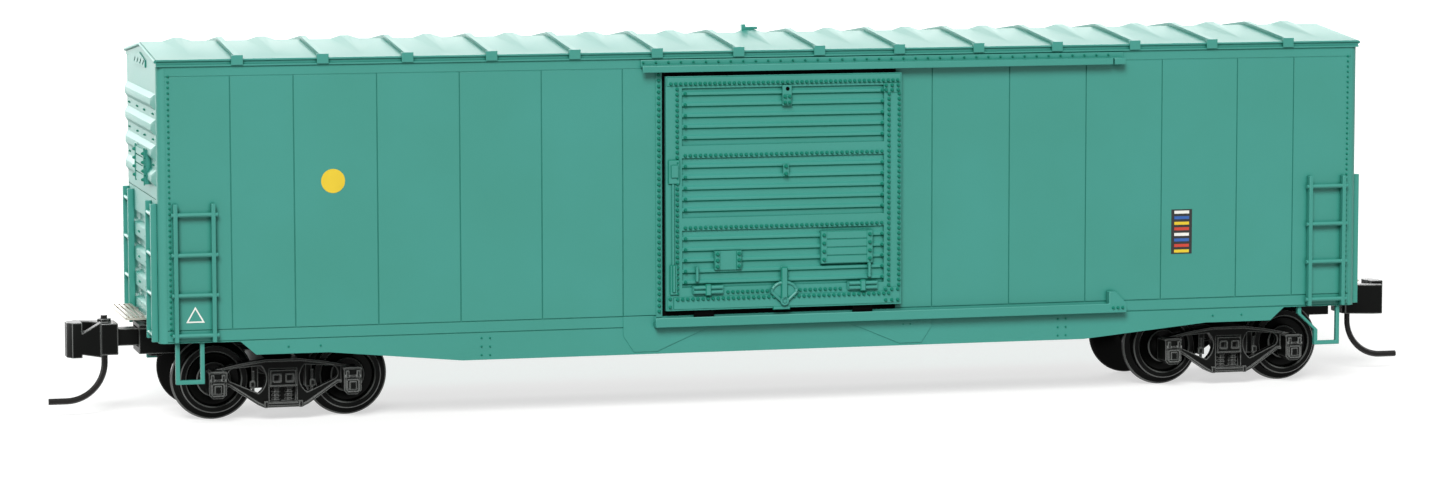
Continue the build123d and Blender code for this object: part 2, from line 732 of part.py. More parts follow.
# Doors: a sheet with pressed ribs in three panels, framed by stiles and rails, hung by lugs in the tracks
ribs_left = DOOR_LEFT + LEFT_STILE
ribs_right = DOOR_RIGHT - RIGHT_STILE
ribs_bottom = DOOR_BOTTOM_Z + KICK_PLATE
panel_height = (DOOR_TOP_Z - TOP_RAIL - ribs_bottom + SPLICE_RAIL) / DOOR_PANELS
rib_pitch = (panel_height - SPLICE_RAIL) / RIBS_PER_PANEL
door_mid_x = (DOOR_LEFT + DOOR_RIGHT) / 2
rib_face_y = DOOR_BACK_Y + DOOR_SHEET
crest_y = rib_face_y + DOOR_RIB
door_fittings = (  # x from the doorway's middle, z above the door's bottom, width, height
    (0.44, 16.8, 0.74, 1.6),
    (0.36, 10.9, 0.45, 0.96),
    (-4.38, 3.9, 2.2, 1.5),
    (5.34, 4.7, 4.3, 2.6),
    (-6.0, 1.62, 2.5, 0.64),
    (6.66, 1.6, 2.5, 0.64),
)

with BuildPart() as door:
    box_between((DOOR_LEFT, -rib_face_y, DOOR_BOTTOM_Z), (DOOR_RIGHT, -DOOR_BACK_Y, DOOR_TOP_Z))
    with BuildSketch(Plane.YZ.offset(ribs_left)):
        for panel in range(DOOR_PANELS):
            for rib in range(RIBS_PER_PANEL):
                low = ribs_bottom + panel * panel_height + rib * rib_pitch + RIB_GROOVE / 2
                high = low + rib_pitch - RIB_GROOVE
                with BuildLine():
                    Polyline(
                        (-rib_face_y, low),
                        (-crest_y, low + RIB_FLANK),
                        (-crest_y, high - RIB_FLANK),
                        (-rib_face_y, high),
                        close=True,
                    )
                make_face()
    extrude(amount=ribs_right - ribs_left)
    with BuildSketch(Plane.XZ.offset(rib_face_y)):
        with Locations((door_mid_x, (DOOR_BOTTOM_Z + DOOR_TOP_Z) / 2)):
            Rectangle(DOOR_RIGHT - DOOR_LEFT, DOOR_TOP_Z - DOOR_BOTTOM_Z)
        with Locations(((ribs_left + ribs_right) / 2, (ribs_bottom + DOOR_TOP_Z - TOP_RAIL) / 2)):
            Rectangle(ribs_right - ribs_left, DOOR_TOP_Z - TOP_RAIL - ribs_bottom, mode=Mode.SUBTRACT)
        splices = [ribs_bottom + (k + 1) * panel_height - SPLICE_RAIL / 2 for k in range(DOOR_PANELS - 1)]
        with Locations(*[((ribs_left + ribs_right) / 2, z) for z in splices]):
            Rectangle(ribs_right - ribs_left, SPLICE_RAIL - RIB_GROOVE)
    extrude(amount=DOOR_FRAME)
    with BuildSketch(Plane.XZ.offset(rib_face_y)):
        for x, z, width, height in door_fittings:
            with Locations((DOORWAY_SHIFT + x, DOOR_BOTTOM_Z + z)):
                Rectangle(width, height)
    extrude(amount=DOOR_RIB + HARDWARE_PROUD)
    lever_x = DOORWAY_SHIFT + LEVER_SHIFT
    lever_low_z = DOOR_BOTTOM_Z + LEVER_FOOT
    crank_z = lever_low_z + CRANK_RISE
    with BuildSketch(Plane.XZ.offset(rib_face_y)):
        with BuildLine():
            Polyline((lever_x - CRANK_HALF, crank_z), (lever_x, lever_low_z), (lever_x + CRANK_HALF, crank_z))
            ThreePointArc(
                (lever_x + CRANK_HALF, crank_z),
                (lever_x, lever_low_z + CRANK_TOP),
                (lever_x - CRANK_HALF, crank_z),
            )
        make_face()
        with Locations((lever_x, lever_low_z + LEVER_HEIGHT / 2)):
            Rectangle(LEVER_WIDTH, LEVER_HEIGHT)
    extrude(amount=DOOR_RIB + HARDWARE_PROUD)
    lug_low_z = LOWER_TRACK_BOTTOM_Z + LOWER_TRACK_FLOOR + TRACK_CLEARANCE
    lug_high_z = UPPER_LEDGE_Z - UPPER_LEDGE - TRACK_CLEARANCE
    for x in (door_mid_x - LUG_SPREAD / 2, door_mid_x + LUG_SPREAD / 2):
        for low_z, high_z in ((lug_low_z, DOOR_BOTTOM_Z), (DOOR_TOP_Z, lug_high_z)):
            box_between(
                (x - LUG_WIDTH / 2, -DOOR_BACK_Y - LUG_THICK, low_z),
                (x + LUG_WIDTH / 2, -DOOR_BACK_Y, high_z),
            )

for name, place in (("door_front", FRONT), ("door_back", BACK)):
    write_node(door.part, name, place)

# Underframe: the floor, the fish-belly centre sill, bolsters with kingpin pads and tapered crossbearers
draft_sill_z = FLOOR_Z - DRAFT_SILL_DROP
centre_sill_z = FLOOR_Z - CENTRE_SILL_DROP
centre_sill_half = TRUCK_X - CENTRE_SILL_GAP
pad_z = BOLSTER_TOP_Z + PAD_CLEARANCE
pad_r = KINGPIN_DIA / 2 + PAD_WALL

with BuildPart() as underframe:
    box_between((-SIDE_X, -INNER_Y, FLOOR_Z), (SIDE_X, INNER_Y, FLOOR_Z + FLOOR_THICK))
    with BuildSketch(Plane.XZ.offset(-CENTRE_SILL_WIDTH / 2)):
        with BuildLine():
            Polyline(
                (-TRUCK_X, FLOOR_Z),
                (-TRUCK_X, draft_sill_z),
                (-centre_sill_half - CENTRE_SILL_RUN, draft_sill_z),
                (-centre_sill_half, centre_sill_z),
                (centre_sill_half, centre_sill_z),
                (centre_sill_half + CENTRE_SILL_RUN, draft_sill_z),
                (TRUCK_X, draft_sill_z),
                (TRUCK_X, FLOOR_Z),
                close=True,
            )
        make_face()
    extrude(amount=CENTRE_SILL_WIDTH)
    cross_members = [  # x, half width along the car, depth at the centre sill
        *[(s * x, CROSSBEARER_WIDTH / 2, CROSSBEARER_DEPTH) for x in seam_places[:3:2] for s in (-1, 1)],
        *[(s * TRUCK_X, BOLSTER_WIDTH / 2, DRAFT_SILL_DROP) for s in (-1, 1)],
    ]
    for x, half_width, root in cross_members:
        with BuildSketch(Plane.YZ.offset(x - half_width)):
            with BuildLine():
                Polyline(
                    (-INNER_Y, FLOOR_Z),
                    (-INNER_Y, FLOOR_Z - CROSSBEARER_TIP),
                    (-CENTRE_SILL_WIDTH, FLOOR_Z - root),
                    (CENTRE_SILL_WIDTH, FLOOR_Z - root),
                    (INNER_Y, FLOOR_Z - CROSSBEARER_TIP),
                    (INNER_Y, FLOOR_Z),
                    close=True,
                )
            make_face()
        extrude(amount=2 * half_width)
    with BuildSketch(Plane.XY.offset(pad_z)):
        with Locations((-TRUCK_X, 0), (TRUCK_X, 0)):
            RegularPolygon(pad_r, 8)
    extrude(amount=FLOOR_Z - pad_z)
    with BuildSketch(Plane.XY.offset(pad_z)):
        with Locations((-TRUCK_X, 0), (TRUCK_X, 0)):
            Circle(KINGPIN_DIA / 2 + KINGPIN_SOCKET)
    extrude(amount=FLOOR_Z - pad_z, mode=Mode.SUBTRACT)

write_node(underframe.part, "underframe")

weight_half = SIDE_X - WEIGHT_END_GAP
weight_half_width = INNER_Y - WEIGHT_SIDE_GAP
floor_top = FLOOR_Z + FLOOR_THICK
with BuildPart() as ballast:
    box_between(
        (-weight_half, -weight_half_width, floor_top),
        (weight_half, weight_half_width, floor_top + WEIGHT_THICK),
    )

write_node(ballast.part, "weight_plate")

# Kingpins: headed pins from below, through the truck bolster into the pad
bolster_bottom_z = AXLE_Z + BOLSTER_RISE
head_top = bolster_bottom_z - PAD_CLEARANCE

with BuildPart() as kingpin:
    with BuildSketch(Plane.XY.offset(head_top - KINGPIN_HEAD)):
        RegularPolygon(KINGPIN_DIA / 2 + KINGPIN_HEAD_LEDGE, 6)
    extrude(amount=KINGPIN_HEAD)
    with BuildSketch(Plane.XY.offset(head_top)):
        Circle(KINGPIN_DIA / 2)
    extrude(amount=FLOOR_Z - head_top)

TRUCK_PLACES = (("right", Location((TRUCK_X, 0, 0))), ("left", Location((-TRUCK_X, 0, 0), (0, 0, 180))))
for side_name, place in TRUCK_PLACES:
    write_node(kingpin.part, f"kingpin_{side_name}", place)

# Wheelsets: dished wheels and axle in one turning, with a journal at each end
tread_r = TREAD_DIA / 2
back_y = BACK_TO_BACK / 2
face_y = back_y + WHEEL_WIDTH
dish_y = face_y - DISH_DEPTH
journal_y = face_y + JOURNAL_REACH
wheel_profile = (  # radius, y, from the wheel's back to the journal's end
    (AXLE_DIA / 2, back_y),
    (tread_r + FLANGE_DEPTH, back_y),
    (tread_r, back_y + FLANGE_WIDTH),
    (tread_r, face_y),
    (JOURNAL_DIA / 2, dish_y),
    (JOURNAL_DIA / 2, journal_y),
    (0, journal_y),
)

with BuildPart() as wheelset:
    with BuildSketch(Plane.XY):
        with BuildLine():
            Polyline(*[(r, -y) for r, y in wheel_profile[::-1]], *wheel_profile, close=True)
        make_face()
    revolve(axis=Axis.Y)

axle_places = [t * TRUCK_X + a * WHEELBASE / 2 for t in (-1, 1) for a in (-1, 1)]
for number, x in enumerate(axle_places, start=1):
    write_node(wheelset.part, f"wheelset_{number}", Location((x, 0, AXLE_Z)))

# Truck frames: cast side frames with windows, springs and journal boxes, the bolster between them,
# and the tongue that carries the coupler pocket
axle_x = WHEELBASE / 2
frame_in = face_y + WHEEL_CLEARANCE
frame_out = frame_in + FRAME_WEB
spring_seat_z = AXLE_Z - SPRING_SEAT_DROP
spring_top_z = AXLE_Z - SPRING_TOP_DROP
chord_z = spring_seat_z - CHORD_THICK
opening_top_z = AXLE_Z + OPENING_RISE
bolster_end_z = AXLE_Z + BOLSTER_END_RISE
waist_x = OPENING_HALF + COLUMN_WIDTH
window_x = axle_x - WINDOW_END
window_mid_z = AXLE_Z + (WINDOW_END_RISE - ARM_DROP / 4) / 2
half_frame = (  # x, z from the middle of the top chord round to the middle of the bottom chord
    (CROWN_HALF, AXLE_Z + CROWN_RISE),
    (SHOULDER_HALF, AXLE_Z + SHOULDER_RISE),
    (axle_x, AXLE_Z + ARM_RISE),
    (axle_x, AXLE_Z - ARM_DROP),
    (axle_x - ARM_INSET, AXLE_Z - ARM_DROP),
    (CHORD_HALF + CHORD_TURN, chord_z + CHORD_THICK / 2),
    (CHORD_HALF, chord_z),
)
box_section = (  # x, z of one half of a journal box, from its top down
    (BOX_WIDTH / 2, BOX_RISE),
    (BOX_WIDTH / 2, BOX_CHAMFER - BOX_DROP),
    (BOX_WIDTH / 2 - BOX_CHAMFER, -BOX_DROP),
)
lid_half = BOX_WIDTH / 2 - LID_INSET
shoe_x = axle_x - tread_r - SHOE_CLEARANCE
pocket_front = END_X + POCKET_FRONT - TRUCK_X
pocket_back = pocket_front - POCKET_LENGTH
post_x = pocket_front - POST_INSET
journal_room = JOURNAL_DIA + 2 * JOURNAL_CLEARANCE

with BuildPart() as spring:
    half_turn = (spring_top_z - spring_seat_z) / (2 * SPRING_TURNS)
    for k in range(2 * SPRING_TURNS + 1):
        with BuildSketch(Plane.XY.offset(spring_seat_z + k * half_turn)):
            RegularPolygon((SPRING_DIA if k % 2 else SPRING_WAIST) / 2, 6)
    loft(ruled=True)

with BuildPart() as truck:
    with BuildSketch(Plane.XZ.offset(frame_in)):
        with BuildLine():
            Polyline(*half_frame, *[(-x, z) for x, z in half_frame[::-1]], close=True)
        make_face()
        for s in (-1, 1):
            with BuildLine():
                top = Line((s * (waist_x + COLUMN_HEAD), AXLE_Z + WINDOW_RISE),
                           (s * (window_x - COLUMN_FOOT), AXLE_Z + WINDOW_END_RISE))
                outer = ThreePointArc(top @ 1, (s * window_x, window_mid_z),
                                      (s * (window_x - COLUMN_HEAD / 2), AXLE_Z - ARM_DROP / 4))
                foot = Line(outer @ 1, (s * (waist_x + COLUMN_FOOT), AXLE_Z - WINDOW_DROP))
                ThreePointArc(foot @ 1, (s * waist_x, AXLE_Z), top @ 0)
            make_face(mode=Mode.SUBTRACT)
        with Locations((0, (spring_seat_z + opening_top_z) / 2)):
            Rectangle(2 * OPENING_HALF, opening_top_z - spring_seat_z, mode=Mode.SUBTRACT)
    extrude(amount=FRAME_WEB)
    with BuildSketch(Plane.XZ.offset(frame_out)):
        with BuildLine():
            Polyline(*half_frame, *[(-x, z) for x, z in half_frame[::-1]], close=True)
        make_face()
        offset(amount=-FRAME_RIM, kind=Kind.INTERSECTION, mode=Mode.SUBTRACT)
    extrude(amount=FRAME_RIM_PROUD)
    with BuildSketch(Plane.XZ.offset(frame_in)):
        for x in (-axle_x, axle_x):
            with BuildLine():
                Polyline(
                    *[(x + dx, AXLE_Z + dz) for dx, dz in box_section],
                    *[(x - dx, AXLE_Z + dz) for dx, dz in box_section[::-1]],
                    close=True,
                )
            make_face()
        with Locations(*[(x, AXLE_Z + BOX_RISE + BOX_CAP / 2) for x in (-axle_x, axle_x)]):
            Rectangle(BOX_WIDTH - 2 * BOX_CAP_INSET, BOX_CAP)
    extrude(amount=BOX_REACH)
    with BuildSketch(Plane.XZ.offset(frame_in + BOX_REACH)):
        with Locations(*[(x, AXLE_Z + (LID_TOP - LID_BOTTOM) / 2) for x in (-axle_x, axle_x)]):
            Rectangle(2 * lid_half, LID_TOP + LID_BOTTOM)
    extrude(amount=LID_PROUD)
    for s in (-1, 1):
        low_x, high_x = sorted((s * (shoe_x - SHOE_THICK), s * shoe_x))
        box_between(
            (low_x, -frame_in, AXLE_Z - SHOE_DROP),
            (high_x, -frame_in + SHOE_WIDTH, AXLE_Z + SHOULDER_RISE),
        )
    box_between(
        (-BOLSTER_END_HALF, -frame_out - BOLSTER_END_PROUD, spring_top_z),
        (BOLSTER_END_HALF, -frame_in, bolster_end_z),
    )
    with BuildSketch(Plane.XZ.offset(frame_out + BOLSTER_END_PROUD)):
        with Locations(*[(s * BOLSTER_END_HALF / 2, (spring_top_z + bolster_end_z) / 2) for s in (-1, 1)]):
            Rectangle(BOLSTER_POCKET, BOLSTER_POCKET)
    extrude(amount=-BOLSTER_POCKET_DEPTH, mode=Mode.SUBTRACT)
    box_between(
        (-OPENING_HALF, -frame_in - SPRING_BACK, spring_seat_z),
        (OPENING_HALF, -frame_in, spring_top_z),
    )
    with Locations(*[(s * SPRING_PITCH / 2, -frame_in - FRAME_WEB / 2, 0) for s in (-1, 1)]):
        add(spring.part)
    with BuildSketch(Plane.XZ.offset(frame_in)):
        with Locations((-axle_x, AXLE_Z), (axle_x, AXLE_Z)):
            Rectangle(journal_room, journal_room)
    extrude(amount=journal_y + JOURNAL_END_PLAY - frame_in, mode=Mode.SUBTRACT)
    mirror(about=Plane.XZ)
    box_between(
        (-BOLSTER_HALF, -frame_in, bolster_bottom_z),
        (BOLSTER_HALF, frame_in, AXLE_Z + CROWN_RISE),
    )
    box_between(
        (-BOLSTER_HALF, -BOLSTER_CROWN_HALF, AXLE_Z + CROWN_RISE),
        (BOLSTER_HALF, BOLSTER_CROWN_HALF, BOLSTER_TOP_Z),
    )
    box_between((0, -TONGUE_WIDTH / 2, POCKET_FLOOR_Z), (pocket_back, TONGUE_WIDTH / 2, BOLSTER_TOP_Z))
    with BuildSketch(Plane.XY.offset(POCKET_FLOOR_Z)):
        with Locations(((pocket_back + pocket_front) / 2, 0)):
            Rectangle(POCKET_LENGTH, POCKET_WIDTH)
    extrude(amount=POCKET_LID_Z - POCKET_FLOOR_Z)
    with BuildSketch(Plane.XY.offset(BOLSTER_TOP_Z)):
        with Locations(((pocket_back + POCKET_WALL + pocket_front) / 2, 0)):
            Rectangle(POCKET_LENGTH - POCKET_WALL, POCKET_WIDTH - 2 * POCKET_WALL)
        with Locations((post_x, 0)):
            Circle(POST_DIA / 2, mode=Mode.SUBTRACT)
    extrude(amount=POCKET_ROOM, mode=Mode.SUBTRACT)
    with BuildSketch(Plane.XY.offset(POCKET_FLOOR_Z - POST_BOSS)):
        with Locations((post_x, 0)):
            RegularPolygon(POST_BOSS_DIA / 2, 8)
    extrude(amount=POST_BOSS)
    with BuildSketch(Plane.XY.offset(bolster_bottom_z)):
        Circle(KINGPIN_DIA / 2 + KINGPIN_FIT)
    extrude(amount=BOLSTER_TOP_Z - bolster_bottom_z, mode=Mode.SUBTRACT)

for side_name, place in TRUCK_PLACES:
    write_node(truck.part, f"truck_frame_{side_name}", place)

with BuildPart() as pocket_lid:
    box_between(
        (pocket_back, -POCKET_WIDTH / 2, POCKET_LID_Z),
        (pocket_front, POCKET_WIDTH / 2, POCKET_LID_Z + POCKET_LID),
    )

for side_name, place in TRUCK_PLACES:
    write_node(pocket_lid.part, f"pocket_lid_{side_name}", place)

# Couplers: the shank with its eye and the guard arm, the hooked knuckle, and the bent trip pin
shank_height = POCKET_ROOM - 2 * SHANK_PLAY
shank_low = BOLSTER_TOP_Z + SHANK_PLAY
coupler_z = shank_low + shank_height / 2 - COUPLER_DROP
eye_r = POST_DIA / 2 + POST_FIT + EYE_WALL
head_x = END_X + HEAD_START - TRUCK_X
tip_x = head_x + HEAD_LENGTH
jaw_x = tip_x - JAW_DEPTH
pin_x = head_x + PIN_SET_BACK
head_low = coupler_z - HEAD_HEIGHT / 2
head_high = coupler_z + HEAD_HEIGHT / 2
pin_top_z = head_high + PIN_ABOVE_HEAD
half_head = HEAD_WIDTH / 2
guard_x = tip_x - GUARD_SHORT
hook_x = tip_x - KNUCKLE_HOOK
knuckle_out = half_head + KNUCKLE_PROUD
head_outline = (  # x, y round the head from its back corner, along the guard arm and into the jaw
    (head_x, -half_head + HEAD_CHAMFER),
    (head_x + HEAD_CHAMFER, -half_head),
    (guard_x - GUARD_FACE, -GUARD_REACH),
    (guard_x, -GUARD_REACH),
    (guard_x, -GUARD_REACH + GUARD_THICK),
    (jaw_x + GUARD_THICK, -half_head / 2),
    (jaw_x, 0),
    (jaw_x, half_head),
    (head_x, half_head),
)
knuckle_outline = (  # x, y round the knuckle from its root, inside the hook and back along its outside
    (jaw_x, knuckle_out - KNUCKLE_THICK),
    (hook_x - KNUCKLE_REACH, knuckle_out - KNUCKLE_THICK),
    (hook_x, half_head - KNUCKLE_HOOK),
    (hook_x, -KNUCKLE_REACH),
    (tip_x, -KNUCKLE_REACH),
    (tip_x, knuckle_out - KNUCKLE_THICK),
    (tip_x - KNUCKLE_THICK / 2, knuckle_out),
    (jaw_x, knuckle_out),
)
knuckle_low = coupler_z - KNUCKLE_HEIGHT / 2
knuckle_high = coupler_z + KNUCKLE_HEIGHT / 2
block_x = tip_x - KNUCKLE_BLOCK
knuckle_side = (  # x, z round the knuckle from the side: the block at its tip, the arm tapered to it
    (jaw_x, knuckle_low),
    (block_x, knuckle_low + KNUCKLE_UNDERCUT),
    (block_x, knuckle_low),
    (tip_x, knuckle_low),
    (tip_x, knuckle_high),
    (block_x, knuckle_high),
    (block_x, knuckle_high - KNUCKLE_NOTCH),
    (jaw_x, knuckle_high),
)

with BuildPart() as coupler:
    with BuildSketch(Plane.XY.offset(shank_low)):
        with Locations(((post_x + head_x) / 2, 0)):
            Rectangle(head_x - post_x, SHANK_WIDTH)
        with Locations((post_x, 0)):
            Circle(eye_r)
            Circle(POST_DIA / 2 + POST_FIT, mode=Mode.SUBTRACT)
    extrude(amount=shank_height)
    with BuildSketch(Plane.XY.offset(head_low)):
        with BuildLine():
            Polyline(*head_outline, close=True)
        make_face()
    extrude(amount=HEAD_HEIGHT)
    with BuildSketch(Plane.XY.offset(head_high)):
        with Locations((pin_x, 0)):
            RegularPolygon(PIN_LUMP_DIA / 2, 6)
    extrude(amount=PIN_LUMP)
    with BuildSketch(Plane.XY.offset(head_low)):
        with Locations((pin_x, 0)):
            RegularPolygon(PIN_DIA / 2 + PIN_FIT, 6)
    extrude(amount=HEAD_HEIGHT + PIN_LUMP, mode=Mode.SUBTRACT)

with BuildPart() as knuckle:
    with BuildSketch(Plane.XY.offset(knuckle_low)):
        with BuildLine():
            Polyline(*knuckle_outline, close=True)
        make_face()
    extrude(amount=KNUCKLE_HEIGHT)
    with BuildSketch(Plane.XZ):
        with BuildLine():
            Polyline(*knuckle_side, close=True)
        make_face()
    extrude(amount=HEAD_WIDTH, both=True, mode=Mode.INTERSECT)

with BuildPart() as trip_pin:
    with BuildLine(Plane.XZ) as pin_path:
        stem = Line((pin_x, pin_top_z), (pin_x, PIN_FOOT_Z + PIN_BEND))
        bend = RadiusArc(stem @ 1, (pin_x + PIN_BEND, PIN_FOOT_Z), -PIN_BEND)
        Line(bend @ 1, (pin_x + PIN_BEND + PIN_TOE, PIN_FOOT_Z))
    with BuildSketch(Plane(origin=(pin_x, 0, pin_top_z), x_dir=(1, 0, 0), z_dir=(0, 0, -1))):
        RegularPolygon(PIN_DIA / 2, 6)
    sweep(path=pin_path.wires()[0])

for side_name, place in TRUCK_PLACES:
    write_node(coupler.part, f"coupler_{side_name}", place)
    write_node(knuckle.part, f"knuckle_{side_name}", place)
    write_node(trip_pin.part, f"trip_pin_{side_name}", place)

# Ladders: flat stiles with rungs between them, on the sides and across the ends
ladder_bottom_z = BAND_BOTTOM_Z
ladder_top_z = END_SEAM_Z - LADDER_BELOW_SEAM
first_rung_z = ladder_bottom_z + RUNG_FIRST
rung_step = (ladder_top_z - RUNG_LAST - first_rung_z) / (RUNGS - 1)
rung_heights = [first_rung_z + k * rung_step for k in range(RUNGS)]

with BuildPart() as side_ladder:
    for x in (-LADDER_WIDTH / 2, LADDER_WIDTH / 2):
        box_between(
            (x - LADDER_BAR / 2, -SIDE_Y - LADDER_DEPTH, ladder_bottom_z),
            (x + LADDER_BAR / 2, -SIDE_Y, ladder_top_z),
        )
    with BuildSketch(Plane.YZ.offset(-LADDER_WIDTH / 2)):
        with Locations(*[(-SIDE_Y - LADDER_DEPTH + RUNG_DIA / 2, z) for z in rung_heights]):
            RegularPolygon(RUNG_DIA / 2, 6)
    extrude(amount=LADDER_WIDTH)

ladder_x = END_X - LADDER_INSET
for name, x, turn in (
    ("side_ladder_front_left", -ladder_x, 0),
    ("side_ladder_front_right", ladder_x, 0),
    ("side_ladder_back_left", -ladder_x, 180),
    ("side_ladder_back_right", ladder_x, 180),
):
    write_node(side_ladder.part, name, Location((x, 0, 0), (0, 0, turn)))

with BuildPart() as end_ladder:
    for y in (-LADDER_WIDTH / 2, LADDER_WIDTH / 2):
        box_between(
            (END_X, y - LADDER_BAR / 2, ladder_bottom_z),
            (END_X + END_LADDER_DEPTH, y + LADDER_BAR / 2, ladder_top_z),
        )
    with BuildSketch(Plane.XZ.offset(-LADDER_WIDTH / 2)):
        with Locations(*[(END_X + END_LADDER_DEPTH - RUNG_DIA / 2, z) for z in rung_heights]):
            RegularPolygon(RUNG_DIA / 2, 6)
    extrude(amount=LADDER_WIDTH)

ladder_y = SIDE_Y - CORNER_RADIUS - LADDER_BAR / 2 - LADDER_WIDTH / 2
for name, y, turn in (
    ("end_ladder_right_front", -ladder_y, 0),
    ("end_ladder_right_back", ladder_y, 0),
    ("end_ladder_left_front", -ladder_y, 180),
    ("end_ladder_left_back", ladder_y, 180),
):
    write_node(end_ladder.part, name, Location((0, y, 0), (0, 0, turn)))

# Steps under the side ladders: a straight stirrup at one corner, one with a raked leg at the other
step_y = SIDE_Y - SIDE_WALL / 2
step_x = END_X - STEP_INSET


def build_step(rake, x, places):
    """Writes a stirrup hung from the sill at x: legs of flat bar down to a tread, the inner leg raked."""
    inner = x - STEP_WIDTH / 2
    outer = x + STEP_WIDTH / 2
    half_bar = STEP_BAR / 2
    tread_z = END_SILL_Z - STEP_DROP
    knee_top = END_SILL_Z - STEP_KNEE_TOP
    knee_low = tread_z + STEP_KNEE
    with BuildPart() as step:
        with BuildSketch(Plane.XZ.offset(step_y - STEP_DEPTH / 2)):
            with BuildLine():
                Polyline(
                    (inner - rake - half_bar, END_SILL_Z),
                    (inner - rake - half_bar, knee_top),
                    (inner - half_bar, knee_low),
                    (inner - half_bar, tread_z - half_bar),
                    (outer + half_bar, tread_z - half_bar),
                    (outer + half_bar, END_SILL_Z),
                    (outer - half_bar, END_SILL_Z),
                    (outer - half_bar, tread_z + half_bar),
                    (inner + half_bar, tread_z + half_bar),
                    (inner + half_bar, knee_low),
                    (inner - rake + half_bar, knee_top),
                    (inner - rake + half_bar, END_SILL_Z),
                    close=True,
                )
            make_face()
        extrude(amount=STEP_DEPTH)
    for node_name, place in places:
        write_node(step.part, node_name, place)


build_step(0, -step_x, (("step_front_left", FRONT), ("step_back_right", BACK)))
build_step(STEP_SLANT, step_x, (("step_front_right", FRONT), ("step_back_left", BACK)))

# End platforms: an open grid of bars on two brackets over each coupler
platform_z = FLOOR_Z + PLATFORM_ABOVE_FLOOR
platform_in = END_X + PLATFORM_GAP
platform_half = ladder_y - LADDER_WIDTH / 2 - LADDER_BAR / 2 - PLATFORM_LADDER_GAP
bracket_y = platform_half - BRACKET_INSET
bar_step = (PLATFORM_DEPTH - PLATFORM_BAR) / (PLATFORM_BARS - 1)
first_bar_x = platform_in + PLATFORM_BAR / 2
end_rib_y = platform_half - PLATFORM_BAR / 2

with BuildPart() as platform:
    with BuildSketch(Plane.XY.offset(platform_z)):
        with Locations(*[(first_bar_x + k * bar_step, 0) for k in range(PLATFORM_BARS)]):
            Rectangle(PLATFORM_BAR, 2 * platform_half)
        cross_bars = (-end_rib_y, -bracket_y, bracket_y, end_rib_y)
        with Locations(*[(platform_in + PLATFORM_DEPTH / 2, y) for y in cross_bars]):
            Rectangle(PLATFORM_DEPTH, PLATFORM_BAR)
    extrude(amount=PLATFORM_THICK)

with BuildPart() as brackets:
    for y in (-bracket_y, bracket_y):
        with BuildSketch(Plane.XZ.offset(-y - BRACKET_THICK / 2)):
            with BuildLine():
                Polyline(
                    (END_X, platform_z),
                    (platform_in + PLATFORM_DEPTH - PLATFORM_BAR, platform_z),
                    (END_X, platform_z - BRACKET_DEPTH),
                    close=True,
                )
            make_face()
        extrude(amount=BRACKET_THICK)

for side_name, place in (("right", RIGHT), ("left", LEFT)):
    write_node(platform.part, f"platform_{side_name}", place)
    write_node(brackets.part, f"platform_brackets_{side_name}", place)

# Hand brake on the right end: the gear housing and a spoked wheel on its shaft
brake_wheel_z = FLOOR_Z + BRAKE_WHEEL_RISE
shaft_x = END_X + HOUSING_DEPTH

with BuildPart() as brake_housing:
    box_between(
        (END_X, BRAKE_WHEEL_Y - HOUSING_WIDTH / 2, brake_wheel_z - HOUSING_HEIGHT / 2),
        (shaft_x, BRAKE_WHEEL_Y + HOUSING_WIDTH / 2, brake_wheel_z + HOUSING_HEIGHT / 2),
    )
    chamfer(faces().sort_by(Axis.X)[-1].edges(), HOUSING_CHAMFER)
    with BuildSketch(Plane.YZ.offset(shaft_x)):
        with Locations((BRAKE_WHEEL_Y, brake_wheel_z)):
            Circle(BRAKE_SHAFT_DIA / 2)
    extrude(amount=BRAKE_SHAFT)

write_node(brake_housing.part, "brake_housing")

with BuildPart() as brake_wheel:
    with BuildSketch(Plane.YZ.offset(shaft_x + BRAKE_SHAFT)):
        with Locations((BRAKE_WHEEL_Y, brake_wheel_z)):
            RegularPolygon(BRAKE_WHEEL_DIA / 2, 20)
            RegularPolygon(BRAKE_WHEEL_DIA / 2 - BRAKE_RIM, 20, mode=Mode.SUBTRACT)
            RegularPolygon(BRAKE_SHAFT_DIA / 2, 8)
            with PolarLocations(BRAKE_WHEEL_DIA / 4, BRAKE_SPOKES):
                Rectangle(BRAKE_WHEEL_DIA / 2 - BRAKE_RIM / 2, BRAKE_SPOKE)
    extrude(amount=BRAKE_RIM)

write_node(brake_wheel.part, "brake_wheel")

# Air brake under the floor: a reservoir on one side of the centre sill, a cylinder on the other
brake_z = FLOOR_Z - BRAKE_DROP

with BuildPart() as air_brake:
    for x, y, diameter, length in (
        (RESERVOIR_X, BRAKE_Y, RESERVOIR_DIA, RESERVOIR_LENGTH),
        (CYLINDER_X, -BRAKE_Y, CYLINDER_DIA, CYLINDER_LENGTH),
    ):
        with BuildSketch(Plane.YZ.offset(x - length / 2)):
            with Locations((y, brake_z)):
                RegularPolygon(diameter / 2, 16)
        extrude(amount=length)
        for saddle_x in (x - length / 4, x + length / 4):
            box_between(
                (saddle_x - SADDLE / 2, y - SADDLE, brake_z),
                (saddle_x + SADDLE / 2, y + SADDLE, FLOOR_Z),
            )

write_node(air_brake.part, "air_brake")
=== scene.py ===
"""N-scale model boxcar: finishes, moulded detail, studio stage and camera on the shared frame."""
import json
import math

import bmesh
import bpy
from bpy.props import FloatProperty, FloatVectorProperty, IntProperty, PointerProperty
from mathutils import Matrix, Vector


